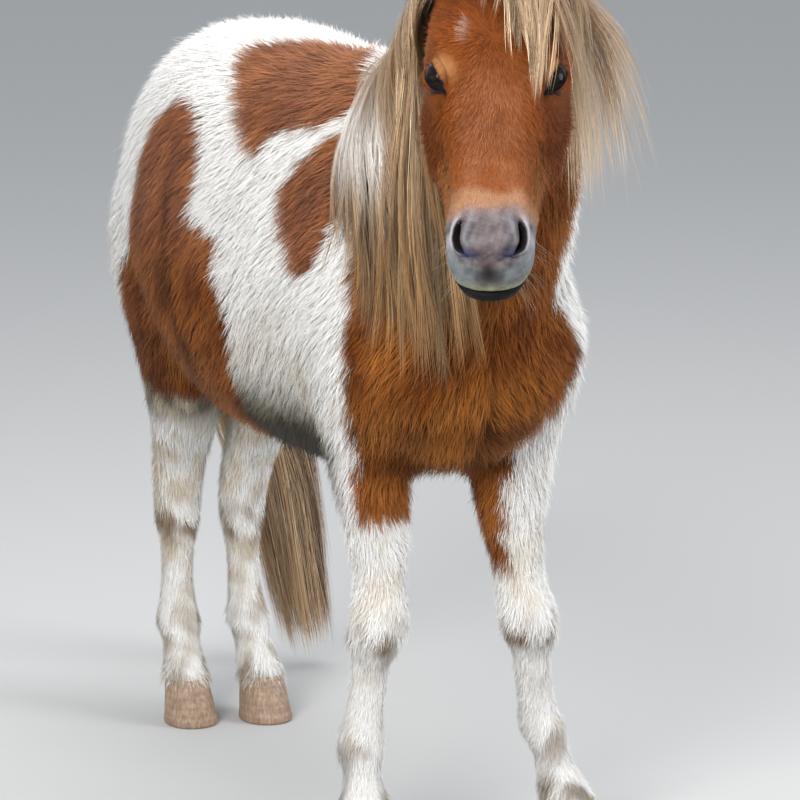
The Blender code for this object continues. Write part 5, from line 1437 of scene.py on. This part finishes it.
def mane(tree, mat, share=1.0):
    rng = np.random.default_rng(21)
    out = []
    steps = 12
    T = np.array([(s,) + t for s, t in MANE_R])
    count, per = int(600 * share), 14
    g = wisps(rng, count, per)
    n = len(g)
    sw = 0.02 + 0.88 * rng.random(count) ** 0.94
    tip_w = np.stack([np.interp(sw, T[:, 0], T[:, k]) for k in (1, 2, 3)], 1)
    short = np.where(sw < 0.24, 0.36 + 0.68 * rng.random(count) ** 1.35, 0.33 + 0.73 * rng.random(count) ** 1.45)
    short = np.where(sw > 0.80, short * 0.36, short)
    fan = rng.normal(0, 0.016, (count, 3)) * (1, 1, 0.6)
    fan[:, 0] = np.where(sw < 0.26, -np.abs(fan[:, 0]) * 1.1 + 0.003, fan[:, 0])
    loose = rng.random(count) < 0.05
    fan[:, 0] = np.where(loose & (sw < 0.30), rng.uniform(0.006, 0.034, count), fan[:, 0])
    fan[:, 0] = np.where(loose & (sw > 0.45), fan[:, 0] - 0.020, fan[:, 0])
    level = rng.random(count)
    s = np.clip(sw[g] + rng.normal(0, 0.0065, n), 0, 1)
    root = crest(s)
    across = rng.normal(0, 0.006, count)[g] + rng.normal(0, 0.0028, n)
    root[:, 0] += across
    root[:, 2] += -0.008 - np.abs(across) * 0.3
    tip = tip_w[g] + fan[g] + rng.normal(0, 0.0024, (n, 3))
    keep = (short[g] * rng.uniform(0.86, 1.02, n))[:, None]
    side = np.array((-0.075, -0.012, 0.0)) * ((1 - 0.3 * s) * (1 - 0.84 * smooth(0.58, 0.92, s)))[:, None] + np.array((-0.034, 0, 0)) * np.maximum(0.0, 1 - s / 0.36)[:, None] * rng.uniform(0.2, 1.15, count)[g][:, None]
    b = root + side * 0.70 * (1 - 0.35 * smooth(0.45, 0.60, s) * smooth(0.9, 0.8, s))[:, None] + np.array((0, -0.004, -0.050)) + rng.normal(0, 0.0045, (count, 3))[g] + rng.normal(0, 0.0018, (n, 3))
    m = (root + tip) / 2 + side * (0.55 - 0.42 * smooth(0.45, 0.62, s))[:, None] + (fan * 0.6)[g]
    ctrl = np.stack([root, b, m, tip], 1)
    full = spline_paths(ctrl, 40)
    at = np.linspace(0, 1, steps)
    idx = at[None, :] * np.minimum(keep, 1.0) * 39
    i0 = np.minimum(idx.astype(int), 38)
    fr = (idx - i0)[..., None]
    rows = np.arange(n)[:, None]
    paths = full[rows, i0] * (1 - fr) + full[rows, i0 + 1] * fr
    curl = rng.normal(0, 1, (count, 3))[g][:, None, :] * (np.sin(at * 3.3 + rng.uniform(0, 6, n)[:, None] * 0.15 + (rng.random(count) * 6)[g][:, None])[..., None]) * 0.0035 * at[None, :, None]
    paths = paths + curl
    clear = 0.010 + 0.020 * level[g][:, None] * np.sin(np.clip(at * 2.2, 0, math.pi))[None, :] + 0.004 * rng.random(n)[:, None]
    paths, face = keep_off(paths, tree, clear)
    wid = 0.00088 * rng.uniform(0.6, 1.3, n)[:, None] * (1 - 0.55 * at[None, :] ** 1.5)
    tint = rng.random(count)
    cols = hair_colours(n, steps, rng, tint[g], 0.40, 0.12)
    # painted light along the middle of each hair and painted shade towards its end
    cols = cols * (1 + 0.24 * np.exp(-((at - 0.45) / 0.18) ** 2) - 0.56 * smooth(0.52, 0.92, at))[None, :, None]
    gold = (0.55 * smooth(0.45, 0.9, at)[None, :] * (tint[g] > 0.35)[:, None])[..., None]
    cols = cols + (np.array((0.34, 0.205, 0.10)) - cols) * gold
    white = smooth(0.34, 0.52, s)[:, None] * np.exp(-((paths[..., 2] - WHITE_Z) / 0.050) ** 2) * (0.25 + 0.75 * (level[g] > 0.25))[:, None] * rng.uniform(0.4, 1.1, count)[g][:, None]
    # wisps lying closer to the neck darker than the outer ones: painted shade between the layers
    cols = cols * (0.74 + 0.56 * level[g])[:, None, None]
    cols = cols * (np.array((1.05, 0.99, 0.90)) - smooth(0.50, 0.90, at)[:, None] * np.array((0.0, 0.07, 0.17)))[None]
    cols = cols + (np.array((0.95, 0.925, 0.885)) - cols) * np.clip(1.05 * white, 0, 0.95)[..., None]
    uv = np.stack([s, np.clip(0.5 + across / 0.05, 0.01, 0.99)], 1) * 0.98 + 0.01
    halves = s < 0.40
    for name, pick in (("mane_right_front", halves), ("mane_right_back", ~halves)):
        out.append(hair_ribbons(name, paths[pick], face[pick], wid[pick], cols[pick], uv[pick], mat))
    # left side
    T = np.array([(s, l) + t for s, l, t in MANE_L])
    count, per = int(230 * share), 13
    g = wisps(rng, count, per)
    n = len(g)
    sw = rng.random(count) ** 1.2 * 0.78
    tip_w = np.stack([np.interp(sw, T[:, 0], T[:, k]) for k in (2, 3, 4)], 1)
    lift_w = np.interp(sw, T[:, 0], T[:, 1])
    blown = (rng.random(count) < 0.36) & (sw < 0.30)
    short = rng.uniform(0.55, 1.05, count)
    fan = rng.normal(0, 0.016, (count, 3)) + blown[:, None] * np.array((0.050, -0.02, 0.050)) * rng.random((count, 1))
    s = np.clip(sw[g] + rng.normal(0, 0.012, n), 0, 1)
    root = crest(s)
    across = np.abs(rng.normal(0, 0.008, n))
    root[:, 0] += across
    root[:, 2] += -0.008 - across * 0.3
    tip = tip_w[g] + fan[g] + rng.normal(0, 0.006, (n, 3))
    keep = (short[g] * rng.uniform(0.84, 1.02, n))[:, None]
    lift = (lift_w[g] * rng.uniform(0.5, 1.2, n))[:, None]
    b = root + np.array((0.040, -0.008, -0.022)) + lift * np.array((0.6, 0, 0))
    m = (root + tip) / 2 + np.array((0.022, -0.005, 0.022)) + lift * np.array((1.0, 0, 0.1))
    full = spline_paths(np.stack([root, b, m, tip], 1), 40)
    idx = at[None, :] * np.minimum(keep, 1.0) * 39
    i0 = np.minimum(idx.astype(int), 38)
    fr = (idx - i0)[..., None]
    rows = np.arange(n)[:, None]
    paths = full[rows, i0] * (1 - fr) + full[rows, i0 + 1] * fr
    curl = rng.normal(0, 1, (count, 3))[g][:, None, :] * np.sin(at * 3.6 + (rng.random(count) * 6)[g][:, None])[..., None] * 0.0045 * at[None, :, None]
    paths, face = keep_off(paths + curl, tree, 0.010 + 0.012 * rng.random(n)[:, None] * np.ones(steps))
    wid = 0.00090 * rng.uniform(0.6, 1.25, n)[:, None] * (1 - 0.55 * at[None, :] ** 1.5)
    cols = hair_colours(n, steps, rng, rng.random(count)[g] * 0.6 + 0.50, 0.05, 0.50, 0.8)
    uv = np.stack([s, np.clip(0.5 + across / 0.05, 0.01, 0.99)], 1) * 0.98 + 0.01
    out.append(hair_ribbons("mane_left_hair", paths, face, wid, cols, uv, mat))
    return out

def forelock(tree, mat, share=1.0):
    rng = np.random.default_rng(22)
    steps = 12
    at = np.linspace(0, 1, steps)
    count, per = int(106 * share), 10
    g = wisps(rng, count, per)
    n = len(g)
    pickw = rng.choice(len(FORELOCK), count, p=[0.22, 0.20, 0.16, 0.14, 0.06, 0.10, 0.12])
    F = np.array(FORELOCK)[pickw]
    U = F[:, 0] + rng.normal(0, 0.013, count)
    Vv = F[:, 1] + rng.normal(0, 0.0060, count)
    wide = rng.normal(-0.006, 0.0165, (count, 1))[g] + rng.normal(0, 0.0020, (n, 1))
    root = headp(-0.020 + 0.006 * rng.normal(size=n), wide[:, 0], 0.000 + 0.0 * wide[:, 0])
    v = Vv[g] + rng.normal(0, 0.0016, n)
    uu = U[g] + rng.normal(0, 0.005, n)
    hgt = rng.uniform(0.8, 1.3, count)[g]
    b = headp(0.030 + 0.0 * v, v * 0.62 + wide[:, 0] * 0.8 + 0.004, 0.036 * hgt - 3.0 * (0.62 * v) ** 2)
    m = headp(0.55 * uu + 0.015, v * 0.94 + wide[:, 0] * 0.3 + 0.003, 0.034 * hgt - 4.5 * v * v)
    tip = headp(uu, v, 0.026 - 6.0 * v * v)
    full = spline_paths(np.stack([root, b, m, tip], 1), 40)
    keep = (rng.uniform(0.72, 1.16, count)[g] * rng.uniform(0.88, 1.0, n))[:, None]
    idx = at[None, :] * np.minimum(keep, 1.0) * 39
    i0 = np.minimum(idx.astype(int), 38)
    fr = (idx - i0)[..., None]
    rows = np.arange(n)[:, None]
    paths = full[rows, i0] * (1 - fr) + full[rows, i0 + 1] * fr
    curl = rng.normal(0, 1, (count, 3))[g][:, None, :] * np.sin(at * 4.0 + (rng.random(count) * 6)[g][:, None])[..., None] * 0.0030 * at[None, :, None]
    paths, face = keep_off(paths + curl, tree, 0.0035 + 0.009 * rng.random(count)[g][:, None] * np.ones(steps))
    wid = 0.00070 * rng.uniform(0.6, 1.25, n)[:, None] * (1 - 0.55 * at[None, :] ** 1.5)
    cols = hair_colours(n, steps, rng, rng.random(count)[g] * 0.92, 0.35, 0.14, 0.6)
    cols = cols * rng.uniform(0.62, 1.06, count)[g][:, None, None]
    uv = np.stack([np.clip(0.5 + wide[:, 0] / 0.08, 0.01, 0.99), rng.random(n) * 0.9 + 0.05], 1)
    return hair_ribbons("forelock_hair", paths, face, wid, cols, uv, mat)

TAIL = [  # the tail's own line: x, y, z, half width, half depth
    (0.000, 0.762, 0.824, 0.026, 0.022), (0.001, 0.798, 0.828, 0.031, 0.027), (0.006, 0.826, 0.796, 0.040, 0.033),
    (0.018, 0.846, 0.715, 0.052, 0.042), (0.046, 0.856, 0.600, 0.061, 0.047), (0.086, 0.858, 0.480, 0.066, 0.048),
    (0.126, 0.854, 0.360, 0.064, 0.046), (0.156, 0.850, 0.255, 0.057, 0.040), (0.175, 0.850, 0.160, 0.050, 0.034),
    (0.188, 0.850, 0.090, 0.045, 0.030), (0.200, 0.850, 0.020, 0.040, 0.024),
]

def tail(mat, share=1.0):
    """Long hair that springs from the dock all along its upper part and falls in one sweep."""
    rng = np.random.default_rng(23)
    T = np.array(TAIL)
    d = np.linalg.norm(np.diff(T[:, :3], axis=0), axis=1)
    t = np.concatenate([[0], np.cumsum(d)]) / d.sum()
    steps = 14
    at = np.linspace(0, 1, steps)
    count, per = int(330 * share), 14
    g = wisps(rng, count, per)
    n = len(g)
    start_w = rng.random(count) ** 1.4 * 0.42
    stop_w = np.clip(start_w + rng.uniform(0.45, 1.0, count), 0.45, 1.0)
    th_w = rng.random(count) * 2 * math.pi
    rad_w = np.sqrt(rng.uniform(0.25, 1.0, count))
    start = np.clip(start_w[g] + rng.normal(0, 0.01, n), 0, 0.5)
    stop = np.clip(stop_w[g] * rng.uniform(0.92, 1.0, n), 0, 1.0)
    th = th_w[g] + rng.normal(0, 0.10, n)
    rad = np.clip(rad_w[g] + rng.normal(0, 0.05, n), 0, 1.05)
    where = start[:, None] + (stop - start)[:, None] * at[None, :]
    S = through(t, T, where.ravel()).reshape(n, steps, 5)
    S2 = through(t, T, np.clip(where + 0.01, 0, 1).ravel()).reshape(n, steps, 5)
    S1 = through(t, T, np.clip(where - 0.01, 0, 1).ravel()).reshape(n, steps, 5)
    tg = unit(S2[..., :3] - S1[..., :3])
    e1 = unit(np.array((1.0, 0, 0)) - tg * tg[..., :1])
    e2 = np.cross(e1, tg)
    grow = 0.35 + 0.62 * smooth(0, 0.35, at)[None, :]
    drift = th[:, None] + (rng.normal(0, 0.5, count)[g])[:, None] * at[None, :]
    off = e1 * (np.cos(drift) * rad[:, None] * S[..., 3] * grow)[..., None] + e2 * (np.sin(drift) * rad[:, None] * S[..., 4] * grow)[..., None]
    paths = S[..., :3] + off
    curl = rng.normal(0, 1, (count, 3))[g][:, None, :] * np.sin(at * 5.0 + (rng.random(count) * 6)[g][:, None])[..., None] * 0.006 * at[None, :, None]
    paths = paths + curl + rng.normal(0, 0.0020, (n, 1, 3)) * at[None, :, None]
    paths[..., 2] = np.maximum(paths[..., 2], 0.004 + 0.01 * rng.random((n, 1)))
    face = unit(off + 1e-9)
    wid = 0.00115 * rng.uniform(0.6, 1.3, n)[:, None] * (1 - 0.55 * at[None, :] ** 1.5)
    cols = hair_colours(n, steps, rng, rng.random(count)[g], 0.35, 0.20, 1.0)
    uv = np.stack([np.clip(start / 0.5, 0, 1), (th % (2 * math.pi)) / (2 * math.pi)], 1) * 0.98 + 0.01
    return hair_ribbons("tail_hair", paths, face, wid, cols, uv, mat)

def whiskers(tree, mat):
    """Fine feelers on the lips and chin, and the lashes of the upper lids."""
    rng = np.random.default_rng(24)
    roots, dirs, lens = [], [], []
    for k in range(110):
        s = rng.choice((-1, 1))
        u, w = rng.uniform(0.325, 0.395), rng.uniform(-0.085, -0.030)
        if k % 3 == 0:
            u, w = rng.uniform(0.30, 0.375), rng.uniform(-0.100, -0.078)
        p = headp(u, s * rng.uniform(0.028, 0.050), w)
        co, no, _i, _d = tree.find_nearest(Vector(p))
        roots.append(np.array(co))
        dirs.append(unit(np.array(no) * 1.0 - HW * 0.45 + HU * 0.25 + rng.normal(0, 0.22, 3)))
        lens.append(rng.uniform(0.014, 0.034))
    for s in (-1, 1):
        c, a, t, b = eye_frame(s)
        for k in range(46):
            x = rng.uniform(-0.85, 0.80)
            y = EYE_UP * (1 - abs(x) ** 1.75) ** (1 / 1.75) + 0.0016
            q = t * x * EYE_A + b * (y - 0.0022 * x)
            q = q + a * math.sqrt(max(1e-6, (EYE_R + 0.002) ** 2 - q @ q))
            roots.append(c + q)
            dirs.append(unit(a * 0.9 + b * 0.25 - HW * 0.15 - t * 0.35 * (0.3 - x) + rng.normal(0, 0.10, 3)))
            lens.append(rng.uniform(0.006, 0.011))
    roots, dirs, lens = np.array(roots), np.array(dirs), np.array(lens)
    n, steps = len(roots), 7
    at = np.linspace(0, 1, steps)
    droop = -np.array((0, 0, 1.0)) * 0.25
    paths = roots[:, None] + (dirs[:, None] * at[None, :, None] + droop * at[None, :, None] ** 2) * lens[:, None, None] - dirs[:, None] * 0.001
    face = np.broadcast_to(unit(HW + 0.3 * HU), paths.shape)
    wid = np.where(lens > 0.0115, 0.00020, 0.00028)[:, None] * (1 - 0.6 * at[None, :])
    cols = np.where((lens > 0.0115)[:, None, None], np.array((0.30, 0.22, 0.165)), np.array((0.030, 0.020, 0.015))) * np.ones((n, steps, 1))
    u, v, w = to_head(roots)
    uv = np.stack([(u - u.min()) / np.ptp(u), (v - v.min()) / np.ptp(v)], 1) * 0.98 + 0.01
    return hair_ribbons("whiskers_and_lashes", paths, face, wid, cols, uv, mat)

# ---------------------------------------------------------------- make it all
SHARE = 1.0

skin = whole_skin()
skin_col, skin_bare = skin_colour(coords(skin.data))
paint_points(skin.data, skin_col)
paint_points(skin.data, np.repeat(skin_bare[:, None], 3, 1), "bare")
skin.data.shade_smooth()
skin.data.materials.append(skin_material())
TREE = BVHTree.FromObject(skin, bpy.context.evaluated_depsgraph_get())

coat_mat = coat_material("pony_coat", 0.62)
hair_mat = coat_material("pony_long_hair", 0.48, 500.0)
coat = coat_pieces(skin, coat_mat, SHARE)
mane_obs = mane(TREE, hair_mat, SHARE)
forelock_ob = forelock(TREE, hair_mat, SHARE)
tail_ob = tail(hair_mat, SHARE)
whisker_ob = whiskers(TREE, hair_mat)
eye_mat, horn_mat = eye_material(), horn_material()
eyes = {"R": eyeball_piece(-1, "eye_ball_R", eye_mat), "L": eyeball_piece(1, "eye_ball_L", eye_mat)}
hooves = {leg: hoof_piece(leg, "hoof_horn_" + leg, horn_mat) for leg in LINES}

everything = [skin] + coat + mane_obs + [forelock_ob, tail_ob, whisker_ob] + list(eyes.values()) + list(hooves.values())
for ob in everything:
    ob.data.transform(Matrix.Translation(Vector((SHIFT[0], SHIFT[1], 0))))
    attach(ob, "root")

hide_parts("trunk", "neck", "head", "muzzle", "ear_R", "ear_L", "forearm_R", "forearm_L", "fore_cannon_R", "fore_cannon_L",
            "gaskin_R", "gaskin_L", "hind_cannon_R", "hind_cannon_L")
for ob in mane_obs:
    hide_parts("mane_left" if ob.name == "mane_left_hair" else "mane_right")
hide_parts("forelock")
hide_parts("tail")
for s, ob in eyes.items():
    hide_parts("eye_" + s)
for leg, ob in hooves.items():
    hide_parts("hoof_" + leg)

# ---------------------------------------------------------------- floor, light, camera
floor_mat, fn, fl, fb = material("studio_floor", Roughness=0.85, Base_Color=(0.42, 0.42, 0.415))
bm = bmesh.new()
bmesh.ops.create_grid(bm, x_segments=1, y_segments=1, size=60.0)
fme = bpy.data.meshes.new("studio_floor")
bm.to_mesh(fme)
bm.free()
floor = link(bpy.data.objects.new("studio_floor", fme))
fme.materials.append(floor_mat)

world = bpy.data.worlds.new("studio")
bpy.context.scene.world = world
world.use_nodes = True
bg = world.node_tree.nodes["Background"]
bg.inputs[0].default_value = (0.86, 0.90, 0.96, 1)
bg.inputs[1].default_value = 0.80

def area(name, at, aim, size, power, colour=(1, 1, 1)):
    d = bpy.data.lights.new(name, "AREA")
    d.shape, d.size, d.energy, d.color = "DISK", size, power, colour
    o = link(bpy.data.objects.new(name, d))
    o.location = at
    o.rotation_mode = "QUATERNION"
    o.rotation_quaternion = (Vector(aim) - Vector(at)).to_track_quat("-Z", "Y")
    return o

area("key", (-2.9, -2.6, 2.9), (0, 0, 0.6), 2.4, 235, (1.0, 0.99, 0.97))
area("top", (0.3, 0.4, 4.2), (0, 0, 0.6), 3.2, 95, (1.0, 0.99, 0.98))
area("side", (3.0, -2.2, 2.0), (0, -0.1, 0.6), 2.2, 112, (0.96, 0.98, 1.0))

cam_data = bpy.data.cameras.new("photo_view")
cam = link(bpy.data.objects.new("photo_view", cam_data))
az, el, f_px = math.radians(-24.3821), math.radians(10.9968), 4535.5
back = Vector((math.sin(az) * math.cos(el), -math.cos(az) * math.cos(el), math.sin(el)))
cam.location = (-2.15372, -4.80652, 1.53690)
cam.rotation_mode = "QUATERNION"
cam.rotation_quaternion = (-back).to_track_quat("-Z", "Y")
cam_data.sensor_width = 36.0
cam_data.lens = f_px / 800 * 36
cam_data.clip_end = 200.0
bpy.context.scene.camera = cam
bpy.context.scene.view_settings.view_transform = "Standard"
bpy.context.scene.view_settings.look = "None"
